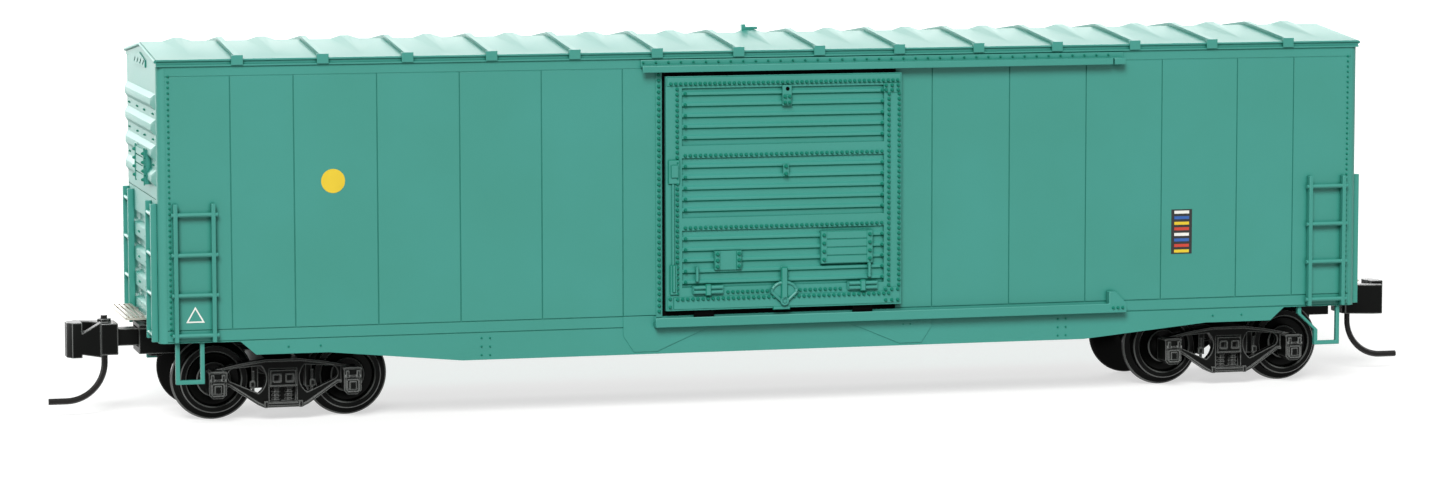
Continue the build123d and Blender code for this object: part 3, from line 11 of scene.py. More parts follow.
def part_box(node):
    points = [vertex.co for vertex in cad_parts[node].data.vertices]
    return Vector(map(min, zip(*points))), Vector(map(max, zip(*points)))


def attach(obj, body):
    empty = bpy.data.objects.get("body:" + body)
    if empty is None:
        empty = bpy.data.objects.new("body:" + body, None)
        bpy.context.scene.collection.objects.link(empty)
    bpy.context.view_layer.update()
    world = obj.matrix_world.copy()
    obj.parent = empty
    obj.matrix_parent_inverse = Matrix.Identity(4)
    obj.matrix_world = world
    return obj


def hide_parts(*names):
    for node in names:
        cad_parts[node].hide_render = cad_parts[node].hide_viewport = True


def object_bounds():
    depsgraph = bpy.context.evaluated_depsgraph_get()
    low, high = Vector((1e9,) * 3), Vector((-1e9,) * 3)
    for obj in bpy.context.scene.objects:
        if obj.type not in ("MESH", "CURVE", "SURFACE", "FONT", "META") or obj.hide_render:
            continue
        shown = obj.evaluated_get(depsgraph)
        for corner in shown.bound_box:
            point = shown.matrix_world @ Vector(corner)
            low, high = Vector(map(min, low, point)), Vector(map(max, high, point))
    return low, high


bl_info = {
    "name": "N-scale boxcar dressing",
    "version": (1, 0, 0),
    "blender": (4, 5, 0),
    "location": "View3D > Sidebar > Boxcar",
    "description": "Paints the CAD pieces of a model boxcar, adds its moulded detail and sets up a studio",
    "category": "Object",
}

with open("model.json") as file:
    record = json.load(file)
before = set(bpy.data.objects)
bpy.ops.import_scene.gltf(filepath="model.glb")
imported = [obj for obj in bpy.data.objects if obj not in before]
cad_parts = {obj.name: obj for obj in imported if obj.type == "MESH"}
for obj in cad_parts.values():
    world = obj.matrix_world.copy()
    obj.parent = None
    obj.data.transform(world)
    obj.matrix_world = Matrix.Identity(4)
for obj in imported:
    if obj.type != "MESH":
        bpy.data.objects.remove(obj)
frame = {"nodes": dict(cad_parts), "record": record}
CAD_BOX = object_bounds()
NODES = frame["nodes"]
MM = 0.001
SIDES = (("front", 0.0), ("back", math.pi))
ENDS = (("right", 0.0), ("left", math.pi))


def record_entry(entries, name):
    """Entry of the record's list that has this name."""
    return next(entry for entry in entries if entry["name"] == name)


# Height of the wheels' tread line and place of the right truck, in metres.
TREAD = record_entry(frame["record"]["mounts"], "rail_contact")["pos_m"][2]
TRUCK_X = record_entry(frame["record"]["behaviour"]["joints"], "truck_right_swivel")["pos_m"][0]
# Faces, here and below, are in millimetres from the car's middle.
SIDE_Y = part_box("end_right")[1].y / MM
END_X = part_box("roof")[1].x / MM
TRACK_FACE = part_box("lower_track_back")[1].y / MM
LADDER_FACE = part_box("side_ladder_back_left")[1].y / MM
DOOR_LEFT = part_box("door_front")[0].x / MM
DOOR_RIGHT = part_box("door_front")[1].x / MM


def at(x, y, z):
    """Point of the frame from millimetres, z over the tread line."""
    return Vector((x * MM, y * MM, TREAD + z * MM))


def linear(colour):
    """sRGB hex string to a linear RGBA tuple."""
    parts = [int(colour[i:i + 2], 16) / 255 for i in (0, 2, 4)]
    return tuple(c / 12.92 if c <= 0.04045 else ((c + 0.055) / 1.055) ** 2.4 for c in parts) + (1.0,)


class BoxcarMoulding(bpy.types.PropertyGroup):
    """Sizes of the moulded detail."""

    edge_round: FloatProperty(
        name="Edge round", description="Radius on the moulded edges of the shell", default=0.05 * MM,
        unit="LENGTH", precision=5)
    cast_round: FloatProperty(
        name="Cast round", description="Radius on the edges of trucks and couplers", default=0.1 * MM,
        unit="LENGTH", precision=5)
    rivet_radius: FloatProperty(
        name="Rivet radius", description="Radius of a moulded rivet head", default=0.15 * MM,
        unit="LENGTH", precision=5)
    rivet_height: FloatProperty(
        name="Rivet height", description="Height of a moulded rivet head", default=0.17 * MM,
        unit="LENGTH", precision=5)
    wheel_steps: IntProperty(
        name="Wheel steps", description="Steps of a wheel's full turn", default=72, min=24, max=128)


class BoxcarColours(bpy.types.PropertyGroup):
    """Colours of the paint, of its painted shade and of the black plastic, each with a light and a dark tone to drift
    between.
    """

    paint_light: FloatVectorProperty(
        name="Paint, light", description="Lighter tone of the body's paint", subtype="COLOR", size=4, min=0, max=1,
        default=linear("398C80"))
    paint_dark: FloatVectorProperty(
        name="Paint, dark", description="Darker tone of the body's paint", subtype="COLOR", size=4, min=0, max=1,
        default=linear("36887A"))
    # Painted shade: deeper teal for rivet heads, plate rims and the undersides of ribs.
    painted_shade_light: FloatVectorProperty(
        name="Painted shade, light", description="Lighter tone of the paint on rivets and under ribs",
        subtype="COLOR", size=4, min=0, max=1, default=linear("1D7A67"))
    painted_shade_dark: FloatVectorProperty(
        name="Painted shade, dark", description="Darker tone of the paint on rivets and under ribs",
        subtype="COLOR", size=4, min=0, max=1, default=linear("1A7561"))
    plastic_light: FloatVectorProperty(
        name="Plastic, light", description="Lighter tone of the trucks' and couplers' plastic", subtype="COLOR",
        size=4, min=0, max=1, default=linear("0E0F0E"))
    plastic_dark: FloatVectorProperty(
        name="Plastic, dark", description="Darker tone of the trucks' and couplers' plastic", subtype="COLOR",
        size=4, min=0, max=1, default=linear("0A0B0A"))


class BoxcarStage(bpy.types.PropertyGroup):
    """Camera and light."""

    camera_place: FloatVectorProperty(
        name="Camera place", description="Where the camera stands, from the wheels' tread line", subtype="TRANSLATION",
        default=(-92.956 * MM, -341.316 * MM, 47.323 * MM), precision=5)
    azimuth: FloatProperty(
        name="Azimuth", description="Turn of the view from straight across the car", subtype="ANGLE",
        default=math.radians(14.889))
    elevation: FloatProperty(
        name="Elevation", description="Angle the camera looks down", subtype="ANGLE", default=math.radians(5.839))
    roll: FloatProperty(
        name="Roll", description="Turn of the picture about the view", subtype="ANGLE", default=math.radians(-0.08))
    lens: FloatProperty(
        name="Lens", description="Focal length over a 36 mm wide picture", default=109.46, unit="CAMERA")
    surroundings: FloatProperty(
        name="Surroundings", description="Strength of the white surroundings as light", default=0.2, min=0)


# Materials

WHITE = (1.0, 1.0, 1.0, 1.0)
MIX_FACTOR, MIX_A, MIX_B, MIX_RESULT = 0, 6, 7, 2  # sockets of a Mix node that mixes colours
DRIFT_DETAIL = 3.0
DRIFT_ENDS = (0.3, 0.7)  # noise at which the drift reaches the dark and the light tone
GRAIN_DETAIL = 2.0
CORNER_SHADE_REACH = 0.4  # millimetres within which a corner gets painted shade
CORNER_SHADE_SAMPLES = 8
CORNER_SHADE_TINT = (0.8, 0.2)  # share of open sky where a corner's painted shade starts, and where it is full
CORNER_SHADE_DULL = 0.35  # share of open sky where a corner's sheen is fully painted out, as painted shade
RIM_HIGHLIGHT_REACH = 0.17  # millimetres from an edge over which a casting gets a painted highlight
RIM_HIGHLIGHT_SAMPLES = 6
RIM_HIGHLIGHT_BEND = (0.995, 0.85)  # cosine between the flat and the rounded edge where the painted highlight starts, and where it is full


def add_node(tree, kind, inputs=None, **settings):
    """Adds a shader node, sets its properties and gives its inputs values or links."""
    node = tree.nodes.new(kind)
    for key, value in settings.items():
        setattr(node, key, value)
    for key, value in (inputs or {}).items():
        if isinstance(value, bpy.types.NodeSocket):
            tree.links.new(value, node.inputs[key])
        else:
            node.inputs[key].default_value = value
    return node


def new_material(name):
    """Empty node material, its tree and its output node."""
    material = bpy.data.materials.new(name)
    material.use_nodes = True
    tree = material.node_tree
    tree.nodes.clear()
    return material, tree, add_node(tree, "ShaderNodeOutputMaterial")


def coated(name, light, dark, rough, mottle_mm, grain_mm, depth_mm, specular=0.5, metallic=0.0, painted_corner_shade=None, painted_rim_highlight=None):
    """Surface with slow colour drift, uneven gloss and a fine grain.

    A corner colour paints shade into its corners: it tints them and dulls their sheen by how little open sky they see.
    A rim colour paints a highlight along its rims.
    """
    material, tree, out = new_material(name)
    place = add_node(tree, "ShaderNodeTexCoord").outputs["Object"]
    drift = add_node(tree, "ShaderNodeTexNoise", {
        "Vector": place, "Scale": 1 / (mottle_mm * MM), "Detail": DRIFT_DETAIL}).outputs["Fac"]
    grain = add_node(tree, "ShaderNodeTexNoise", {
        "Vector": place, "Scale": 1 / (grain_mm * MM), "Detail": GRAIN_DETAIL}).outputs["Fac"]
    bump = add_node(tree, "ShaderNodeBump", {"Height": grain, "Distance": depth_mm * MM, "Strength": 1.0})
    tone = add_node(tree, "ShaderNodeMapRange", {
        "Value": drift, "From Min": DRIFT_ENDS[0], "From Max": DRIFT_ENDS[1]})
    gloss = add_node(tree, "ShaderNodeMapRange", {"Value": drift, "To Min": rough[0], "To Max": rough[1]})
    colour = add_node(tree, "ShaderNodeMix", {
        MIX_FACTOR: tone.outputs["Result"], MIX_A: dark, MIX_B: light}, data_type="RGBA").outputs[MIX_RESULT]
    # Painted shade: corners that see little open sky are tinted darker and lose their sheen.
    if painted_corner_shade:
        sky = add_node(tree, "ShaderNodeAmbientOcclusion", {
            "Distance": CORNER_SHADE_REACH * MM}, samples=CORNER_SHADE_SAMPLES).outputs["AO"]
        depth = add_node(tree, "ShaderNodeMapRange", {
            "Value": sky, "From Min": CORNER_SHADE_TINT[0], "From Max": CORNER_SHADE_TINT[1]})
        colour = add_node(tree, "ShaderNodeMix", {
            MIX_FACTOR: depth.outputs["Result"], MIX_A: colour, MIX_B: linear(painted_corner_shade)},
            data_type="RGBA", blend_type="MULTIPLY").outputs[MIX_RESULT]
        specular = add_node(tree, "ShaderNodeMapRange", {
            "Value": sky, "From Min": CORNER_SHADE_DULL, "To Max": specular}).outputs["Result"]
    # Painted highlight: the surface near an edge is mixed toward the rim colour.
    if painted_rim_highlight:
        rounded = add_node(tree, "ShaderNodeBevel", {"Radius": RIM_HIGHLIGHT_REACH * MM}, samples=RIM_HIGHLIGHT_SAMPLES)
        flat = add_node(tree, "ShaderNodeNewGeometry")
        bend = add_node(tree, "ShaderNodeVectorMath", {
            0: rounded.outputs["Normal"], 1: flat.outputs["Normal"]}, operation="DOT_PRODUCT")
        rim_highlight = add_node(tree, "ShaderNodeMapRange", {
            "Value": bend.outputs["Value"], "From Min": RIM_HIGHLIGHT_BEND[0], "From Max": RIM_HIGHLIGHT_BEND[1]})
        colour = add_node(tree, "ShaderNodeMix", {
            MIX_FACTOR: rim_highlight.outputs["Result"], MIX_A: colour, MIX_B: linear(painted_rim_highlight)},
            data_type="RGBA").outputs[MIX_RESULT]
    shader = add_node(tree, "ShaderNodeBsdfPrincipled", {
        "Base Color": colour,
        "Roughness": gloss.outputs["Result"],
        "Normal": bump.outputs["Normal"],
        "Specular IOR Level": specular,
        "Metallic": metallic,
    })
    tree.links.new(shader.outputs["BSDF"], out.inputs["Surface"])
    return material


INKS = {  # lighter and darker tone
    "white": ("ECEBE4", "E2E1DA"),
    "yellow": ("E3C52F", "D9BA28"),
    "black": ("161716", "121312"),
    "blue": ("2B5FA8", "2858A0"),
    "red": ("C5412F", "BA3B2A"),
}


def make_materials(colours):
    """All finishes of the car by name.

    The real grain of spray, mould and etch is a few hundredths of a millimetre, too fine to show, so each is drawn
    0.2 to 0.3 mm across.
    """
    finishes = {
        # Satin sprayed paint: even teal, a soft sheen that pales at a glance and a faint spray grain, with painted
        # shade tinting and dulling its corners.
        "paint": coated("Satin sprayed paint on styrene", colours.paint_light, colours.paint_dark, rough=(0.42, 0.5),
                        mottle_mm=9.0, grain_mm=0.25, depth_mm=0.004, painted_corner_shade="6AAE9E"),
        # Painted shade on rivet heads, plate rims and rib undersides: deeper teal with the sheen taken off, standing
        # for the shade that falls on them.
        "shade": coated("Painted shade on satin paint", colours.painted_shade_light, colours.painted_shade_dark, rough=(0.5, 0.6),
                        mottle_mm=9.0, grain_mm=0.25, depth_mm=0.004, specular=0.12),
        # Moulded acetal: near black with a low oily sheen, and a painted highlight: grey along its rims, for the light
        # that they catch.
        "acetal": coated("Black moulded acetal", colours.plastic_light, colours.plastic_dark, rough=(0.3, 0.4),
                         mottle_mm=4.0, grain_mm=0.22, depth_mm=0.002, specular=0.07, painted_rim_highlight="7C7E7C"),
        # Rounded acetal edges and wheel rings: the same plastic painted greyer, a painted highlight that draws the
        # outlines.
        "painted_highlight": coated("Painted highlight on black acetal edges", linear("626462"), linear("505250"), rough=(0.3, 0.4),
                         mottle_mm=2.0, grain_mm=0.2, depth_mm=0.002),
        # Polished acetal tread: the same black with the tight gloss of a moulded wheel.
        "wheel": coated("Glossy black acetal wheel", linear("0B0C0B"), linear("080908"), rough=(0.2, 0.3),
                        mottle_mm=3.0, grain_mm=0.3, depth_mm=0.001, specular=0.07),
        # Painted shadow: dead black that shows as a shadow line, put in the door gaps, on the hung lugs and in the
        # eye's hole, where there is only shade.
        "painted_shadow_black": coated("Black painted shadow", linear("050505"), linear("030303"), rough=(0.8, 0.9),
                         mottle_mm=4.0, grain_mm=0.25, depth_mm=0.002, specular=0.05),
        # Rolled steel: dull grey with a slow cloudy drift.
        "steel": coated("Plain rolled steel plate", linear("B2B0AC"), linear("9C9B98"), rough=(0.38, 0.5),
                        mottle_mm=5.0, grain_mm=0.2, depth_mm=0.003, metallic=1.0),
        # Etched nickel silver: bright warm grey metal, finely pitted.
        "etched": coated("Etched nickel silver", linear("C9C4B8"), linear("B3AEA3"), rough=(0.3, 0.42),
                         mottle_mm=3.0, grain_mm=0.2, depth_mm=0.004, metallic=1.0),
        # Blackened spring wire: black with a slight brown cast.
        "wire": coated("Blackened steel wire", linear("1A1817"), linear("121110"), rough=(0.32, 0.42),
                       mottle_mm=2.0, grain_mm=0.2, depth_mm=0.002, specular=0.2),
    }
    # Pad-printed inks: flat colour lying on the paint with little sheen.
    for ink, (light, dark) in INKS.items():
        finishes[f"ink_{ink}"] = coated(f"{ink.title()} printing ink", linear(light), linear(dark), rough=(0.5, 0.6),
                                        mottle_mm=3.0, grain_mm=0.25, depth_mm=0.002)
    return finishes


FINISHES = {}
SLOT_FINISH = {"body_paint": "paint", "black_plastic": "acetal", "steel_plate": "steel", "etched_metal": "etched",
               "blackened_steel": "wire"}


# Shapes

PLATE_EDGE = 0.03  # millimetres rounded off a plate's edges
RIVET_SIDES = 8
RIVET_CROWN = 0.5  # share of a rivet's radius at its top
BAR_SIDES = 10
DISC_SIDES = 32
SHARP_EDGE = 25.0  # degrees between faces above which an edge is rounded
SMOOTH_EDGE = 20.0  # degrees between faces below which they are shaded as one
FLAT_EDGE = 0.5  # degrees between faces below which they are merged
SAME_POINT = 0.0005 * MM  # distance below which two points are one


def block(bm, low, high, bevel=PLATE_EDGE):
    """Box between two corners (x, y, z in millimetres) with its edges rounded by bevel."""
    low, high = at(*low), at(*high)
    size = high - low
    matrix = Matrix.Translation((low + high) / 2) @ Matrix.Diagonal((size.x, size.y, size.z, 1.0))
    made = bmesh.ops.create_cube(bm, size=1.0, matrix=matrix)["verts"]
    if bevel:
        edges = list({e for v in made for e in v.link_edges})
        rounded = bmesh.ops.bevel(bm, geom=edges, offset=bevel * MM, offset_type="OFFSET", affect="EDGES", segments=1,
                                  profile=0.5, clamp_overlap=True, material=-1)["faces"]
        # Rounds take the piece's second finish: painted shade on painted pieces, a painted highlight on castings.
        for face in rounded:
            face.material_index = 1


def plate(bm, x, z, base, proud, bevel=PLATE_EDGE):
    """Plate on the front side: its (low, high) x and z, the face that its back lies on and its thickness."""
    block(bm, (x[0], -base - proud, z[0]), (x[1], -base, z[1]), bevel)


def planks(low, high, count, gap):
    """Heights (low, high) of each plank of a board, with gap taken off its lower and its upper edge."""
    step = (high - low) / count
    return [(low + k * step + gap, low + k * step + step - gap) for k in range(count)]


def facing(direction):
    """Rotation that turns +Z to direction."""
    return Vector(direction).to_track_quat("Z", "Y").to_matrix().to_4x4()


def rivets(bm, first, last, pitch, direction, scale=1.0):
    """Row of low rivet heads between two points in millimetres, about pitch apart."""
    size = bpy.context.scene.boxcar_moulding
    radius, height = size.rivet_radius * scale, size.rivet_height * scale
    first, last = at(*first), at(*last)
    place = Matrix.Translation(first + Vector(direction) * (height / 2)) @ facing(direction)
    made = bmesh.ops.create_cone(bm, cap_ends=True, segments=RIVET_SIDES, radius1=radius,
                                 radius2=radius * RIVET_CROWN, depth=height, matrix=place)["verts"]
    faces = list({f for v in made for f in v.link_faces})
    # Heads take the piece's second finish, painted shade.
    for face in faces:
        face.material_index = 1
    steps = round((last - first).length / (pitch * MM))
    if steps:
        geom = made + list({e for v in made for e in v.link_edges}) + faces
        bmesh.ops.spin(bm, geom=geom, cent=(0, 0, 0), axis=(0, 0, 1), dvec=(last - first) / steps, angle=0.0,
                       steps=steps, use_duplicate=True)


def side_rivets(bm, rows, base, scale=1.0):
    """Rows of rivets on a face of the front side from (first x, first z, last x, last z, pitch)."""
    for x0, z0, x1, z1, pitch in rows:
        rivets(bm, (x0, -base, z0), (x1, -base, z1), pitch, (0, -1, 0), scale)


def bar(bm, start, end, radius, sides=BAR_SIDES):
    """Round bar between two points in millimetres."""
    first, last = at(*start), at(*end)
    place = Matrix.Translation((first + last) / 2) @ facing(last - first)
    bmesh.ops.create_cone(bm, cap_ends=True, segments=sides, radius1=radius * MM, radius2=radius * MM,
                          depth=(last - first).length, matrix=place)


def disc(bm, x, z, radius, base, proud, sides=DISC_SIDES):
    """Round plate on a face of the front side."""
    bar(bm, (x, -base, z), (x, -base - proud, z), radius, sides)


def soften(bm, width):
    """Rounds every sharp edge of bm; the rounds take its second finish."""
    edges = [e for e in bm.edges if e.is_manifold and e.calc_face_angle(0.0) > math.radians(SHARP_EDGE)]
    rounded = bmesh.ops.bevel(bm, geom=edges, offset=width, offset_type="OFFSET", affect="EDGES", segments=2,
                              profile=0.5, clamp_overlap=True, material=-1)["faces"]
    for face in rounded:
        face.material_index = 1


def softened_node(name, width, merge_flats=True):
    """Copy of a CAD node's shape with its sharp edges rounded and, if asked, its flat faces merged first."""
    bm = bmesh.new()
    bm.from_mesh(NODES[name].data)
    bmesh.ops.transform(bm, matrix=NODES[name].matrix_world, verts=bm.verts)
    bmesh.ops.remove_doubles(bm, verts=bm.verts, dist=SAME_POINT)
    if merge_flats:
        bmesh.ops.dissolve_limit(bm, angle_limit=math.radians(FLAT_EDGE), verts=bm.verts, edges=bm.edges)
    soften(bm, width)
    return bm


def turn(bm, angle, verts=None):
    """Turns the shape, or some of its points, about the car's middle."""
    bmesh.ops.rotate(bm, cent=(0, 0, 0), matrix=Matrix.Rotation(angle, 3, "Z"), verts=verts or bm.verts)


def finish_piece(name, bm, finish, body, stands_for=(), smooth_below=SMOOTH_EDGE, painted_edge_light=None):
    """Makes a shape into a piece of the car with its finish, body and the CAD nodes it stands for."""
    for face in bm.faces:
        face.smooth = True
    for edge in bm.edges:
        edge.smooth = edge.calc_face_angle(math.pi) < math.radians(smooth_below)
    mesh = bpy.data.meshes.new(name)
    bm.to_mesh(mesh)
    bm.free()
    obj = bpy.data.objects.new(name, mesh)
    bpy.context.scene.collection.objects.link(obj)
    mesh.materials.append(FINISHES[finish])
    # Rounds and rivet heads take the second finish: painted shade on painted pieces, a painted highlight on castings
    # and wheels.
    mesh.materials.append(FINISHES[painted_edge_light or finish])
    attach(obj, body)
    if stands_for:
        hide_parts(*stands_for)
    return obj


def on_both(places, name, shape, finish, body="carbody"):
    """Makes shape(bm), drawn on the front side or the right end, into a piece at each of two places."""
    for place, angle in places:
        bm = bmesh.new()
        shape(bm)
        turn(bm, angle)
        # Rounds and rivet heads of painted pieces take painted shade.
        finish_piece(f"{name}_{place}", bm, finish, body.format(place),
                     painted_edge_light="shade" if finish == "paint" else None)


def on_trucks(name, shape, finish):
    """Makes shape(bm), drawn on the front frame of a truck at the car's middle, into a piece on each truck."""
    for end, angle in ENDS:
        bm = bmesh.new()
        shape(bm)
        copied = bmesh.ops.duplicate(bm, geom=bm.verts[:] + bm.edges[:] + bm.faces[:])["geom"]
        turn(bm, math.pi, [v for v in copied if isinstance(v, bmesh.types.BMVert)])
        bmesh.ops.translate(bm, vec=(TRUCK_X * math.cos(angle), 0, 0), verts=bm.verts)
        # Rounds of the truck fittings take a painted highlight.
        finish_piece(f"{name}_{end}", bm, finish, f"truck_{end}", painted_edge_light="painted_highlight")


# Piece groups, in millimetres: x and z are (low, high), and z is over the wheels' tread line.

class BOXCAR_OT_finishes(bpy.types.Operator):
    """Makes the finishes and gives every CAD node that of its material slot"""

    bl_idname = "boxcar.finishes"
    bl_label = "Paint the CAD pieces"

    def execute(self, context):
        FINISHES.update(make_materials(context.scene.boxcar_colours))
        for part in frame["record"]["subparts"]:
            node = NODES[part["node"]]
            node.data.materials.clear()
            node.data.materials.append(FINISHES[SLOT_FINISH[part["material_slot"]]])
        return {"FINISHED"}


PRESSED_ENDS = ["end_left", "end_right"]  # merging their flat faces would tear the pressings
SHELL = ["side_front", "side_back", *PRESSED_ENDS, "roof", "upper_track_front", "upper_track_back",
         "lower_track_front", "lower_track_back"]
SHELL += [f"side_ladder_{side}_{end}" for side, _ in SIDES for end, _ in ENDS]
SHELL += [f"end_ladder_{end}_{side}" for side, _ in SIDES for end, _ in ENDS]
SHELL += [f"step_{side}_{end}" for side, _ in SIDES for end, _ in ENDS]
SHELL += ["brake_housing"]

# Rivets on the front side: face, scale, and rows of first x and z, last x and z, pitch.
CORNER_POST_RIVETS = (SIDE_Y, 0.65, (
    (-48.12, 6.7, -48.12, 26.4, 0.42),
    (48.12, 6.7, 48.12, 26.4, 0.42),
))
SILL_RIVETS = (SIDE_Y, 0.55, (
    (-39.1, 5.5, -36.6, 5.5, 2.5),
    (36.6, 5.5, 39.1, 5.5, 2.5),
    (10.28, 5.65, 10.87, 5.65, 0.59),
    (-23.98, 4.33, -23.98, 5.66, 0.66),
    (-23.31, 4.31, -23.31, 5.64, 0.66),
    (23.31, 4.31, 23.31, 5.64, 0.66),
    (23.98, 4.33, 23.98, 5.66, 0.66),
))
DOOR_POST_RIVETS = (SIDE_Y + 0.06, 1.0, ((-9.76, 7.3, -9.76, 25.9, 0.45),))
UPPER_STRIP_RIVETS = (SIDE_Y + 0.12, 0.65, ((-11.0, 26.86, 27.4, 26.86, 1.0),))
LOWER_TRACK_RIVETS = (TRACK_FACE, 0.9, ((27.75, 6.5, 28.55, 6.5, 0.4),))
LADDER_X = (-46.28, 46.28)
RUNG_HALF = 1.78
RUNG_RADIUS = 0.17
RUNG_Y = 0.18 - LADDER_FACE
LADDER_RUNGS = (6.61, 9.69, 12.78, 15.86)
SHADOW_STRIP_THICKNESS = 0.05
DOORWAY_SHADOW_STRIPS = (  # x, z, face
    ((-9.5, 9.6), (25.6, 26.2), SIDE_Y),
    ((-9.5, 9.6), (6.95, 7.5), SIDE_Y),
    ((-9.5, -9.1), (7.5, 25.6), SIDE_Y - SHADOW_STRIP_THICKNESS),
)


def panel_fixings(bm):
    """Rivets of the posts, sill and tracks and rungs of the ladders on the front side."""
    for face, scale, rows in (CORNER_POST_RIVETS, SILL_RIVETS, DOOR_POST_RIVETS, UPPER_STRIP_RIVETS,
                              LOWER_TRACK_RIVETS):
        side_rivets(bm, rows, face, scale)
    for x in LADDER_X:
        for z in LADDER_RUNGS:
            bar(bm, (x - RUNG_HALF, RUNG_Y, z), (x + RUNG_HALF, RUNG_Y, z), RUNG_RADIUS)


def doorway_shadow_strips(bm):
    """Painted shadow: black strips behind the gaps round the front door, where there is only shade."""
    for x, z, face in DOORWAY_SHADOW_STRIPS:
        plate(bm, x, z, face, SHADOW_STRIP_THICKNESS, 0.0)


class BOXCAR_OT_shell(bpy.types.Operator):
    """Rounds the moulded edges of the shell and sets its rivets"""

    bl_idname = "boxcar.shell"
    bl_label = "Shell"

    def execute(self, context):
        width = context.scene.boxcar_moulding.edge_round
        for name in SHELL:
            shape = softened_node(name, width, merge_flats=name not in PRESSED_ENDS)
            finish_piece(f"{name}_moulded", shape, "paint", "carbody", [name])
        on_both(SIDES, "panel_fixings", panel_fixings, "paint")
        # Black strips that paint the shadow in the door gaps.
        on_both(SIDES, "doorway_shadow_strips", doorway_shadow_strips, "painted_shadow_black")
        return {"FINISHED"}


# Fittings of the right end.
BOARD_Y = (-0.33, 5.47)
BOARD_Z = (17.95, 20.62)
BOARD_FACE = 49.45
BOARD_SUNK = 0.1
BOARD_PROUD = 0.06
BOARD_PLANKS = 4
PLANK_GAP = 0.03  # taken off each edge of a plank
STRAP_INSET = 0.35
STRAP_HALF = 0.2
STRAP_PROUD = 0.12
STRAP_REACH = 0.1  # past the board's upper and lower edge
EAVE_Y = 9.0
TRIM_EAVE_Z = 27.53
TRIM_RIDGE_Z = 28.45
TRIM_X = END_X + 0.04
TRIM_RADIUS = 0.13
BAND_RIVETS_Y = (-7.05, -2.13, 2.13, 7.05)
BAND_RIVET_PAIR = 0.5
BAND_RIVET_SCALE = 0.6
END_BANDS_Z = (9.64, 11.62, 13.61, 19.57, 21.52, 23.47)


def tack_board(bm):
    """Planks of the board on the end with a bolted strap at each side."""
    for low, high in planks(*BOARD_Z, BOARD_PLANKS, PLANK_GAP):
        block(bm, (BOARD_FACE - BOARD_SUNK, BOARD_Y[0], low), (BOARD_FACE + BOARD_PROUD, BOARD_Y[1], high))
    step = (BOARD_Z[1] - BOARD_Z[0]) / BOARD_PLANKS
    x = BOARD_FACE + STRAP_PROUD
    for y in (BOARD_Y[0] + STRAP_INSET, BOARD_Y[1] - STRAP_INSET):
        block(bm, (BOARD_FACE, y - STRAP_HALF, BOARD_Z[0] - STRAP_REACH),
              (x, y + STRAP_HALF, BOARD_Z[1] + STRAP_REACH))
        rivets(bm, (x, y, BOARD_Z[0] + step / 2), (x, y, BOARD_Z[1] - step / 2), step, (1, 0, 0))


def end_rivets(bm):
    """Pairs of rivets on the flat bands between the end's pressings."""
    for z in END_BANDS_Z:
        for y in BAND_RIVETS_Y:
            rivets(bm, (END_X, y - BAND_RIVET_PAIR / 2, z), (END_X, y + BAND_RIVET_PAIR / 2, z), BAND_RIVET_PAIR,
                   (1, 0, 0), BAND_RIVET_SCALE)


def gable_trim(bm):
    """Lip of the roof sheet over the gable."""
    for side in (-1, 1):
        bar(bm, (TRIM_X, side * EAVE_Y, TRIM_EAVE_Z), (TRIM_X, 0, TRIM_RIDGE_Z), TRIM_RADIUS)


class BOXCAR_OT_ends(bpy.types.Operator):
    """Adds the boards and rivets of the ends"""

    bl_idname = "boxcar.ends"
    bl_label = "Ends"

    def execute(self, context):
        on_both(ENDS, "tack_board", tack_board, "paint")
        on_both(ENDS, "end_rivets", end_rivets, "paint")
        on_both(ENDS, "gable_trim", gable_trim, "paint")
        return {"FINISHED"}


# Front door: its faces, and the ends of its panel above and below which only the hung lugs reach, which are painted
# black as shadow.
FRAME_FACE = 9.51
CREST_FACE = 9.55
FITTING_FACE = 9.69
LUGS_Z = (7.3, 25.82)
SHADED_UNDERSIDE = -0.25  # upward part of a face's normal below which it is the underside of a rib, which gets painted shade
RIB_FIRST_Z = 9.58
RIB_PITCH = 0.858
RIBS_PER_PANEL = 5
PANEL_PITCH = 5.69
DOOR_PANELS = 3
RIB_ENDS_X = (-7.75, 8.33)
# Rivet rows on the frame: first x and z, last x and z, pitch.
FRAME_RIVETS = (
    (-8.39, 8.7, -8.39, 24.75, 0.41),
    (8.91, 8.9, 8.91, 24.1, 0.41),
    (9.75, 8.9, 9.75, 24.1, 0.41),
    (-7.75, 19.54, 8.33, 19.54, 0.41),
    (-7.75, 13.86, 8.33, 13.86, 0.41),
    (-4.3, 8.72, -1.1, 8.72, 0.41),
    (1.6, 8.72, 4.9, 8.72, 0.41),
)
PLATE_RIVETS = ((-8.9, 25.18, 9.6, 25.18, 0.39), (-8.4, 8.24, 8.9, 8.24, 0.41))
EDGE_PLATE_PROUD = 0.05
TOP_PLATE_X = (DOOR_LEFT + 0.08, DOOR_RIGHT - 0.08)
TOP_PLATE_Z = (25.0, 25.7)
KICK_PLATE_X = (-8.7, 9.2)
KICK_PLATE_Z = (7.46, 8.42)
CORNER_PLATES = (((8.45, 9.85), (24.2, 24.98)), ((8.45, 9.85), (7.5, 8.75)), ((-9.2, -8.75), (7.46, 8.5)))
CORNER_PROUD = 0.04
CORNER_RIVET_INSET = 0.2
CORNER_RIVET_PITCH = 0.5
DOOR_STRAPS = (  # x of the two straps' middles, half width, z, bolts
    ((-5.2, -3.45), 0.21, (10.51, 11.99), 3),
    ((3.5, 7.27), 0.25, (10.76, 13.34), 4),
)
DOOR_STRAP_PROUD = 0.08
DOOR_STRAP_BOLT_SCALE = 1.1
DOOR_BOARD_X = (3.24, 7.53)
DOOR_BOARD_Z = (10.76, 13.34)
DOOR_BOARD_PLANKS = 4
DOOR_BOARD_PROUD = 0.05
HANGERS = ((-7.21, -4.7), (5.47, 7.95))
HANGER_BARS_Z = (8.78, 9.14)
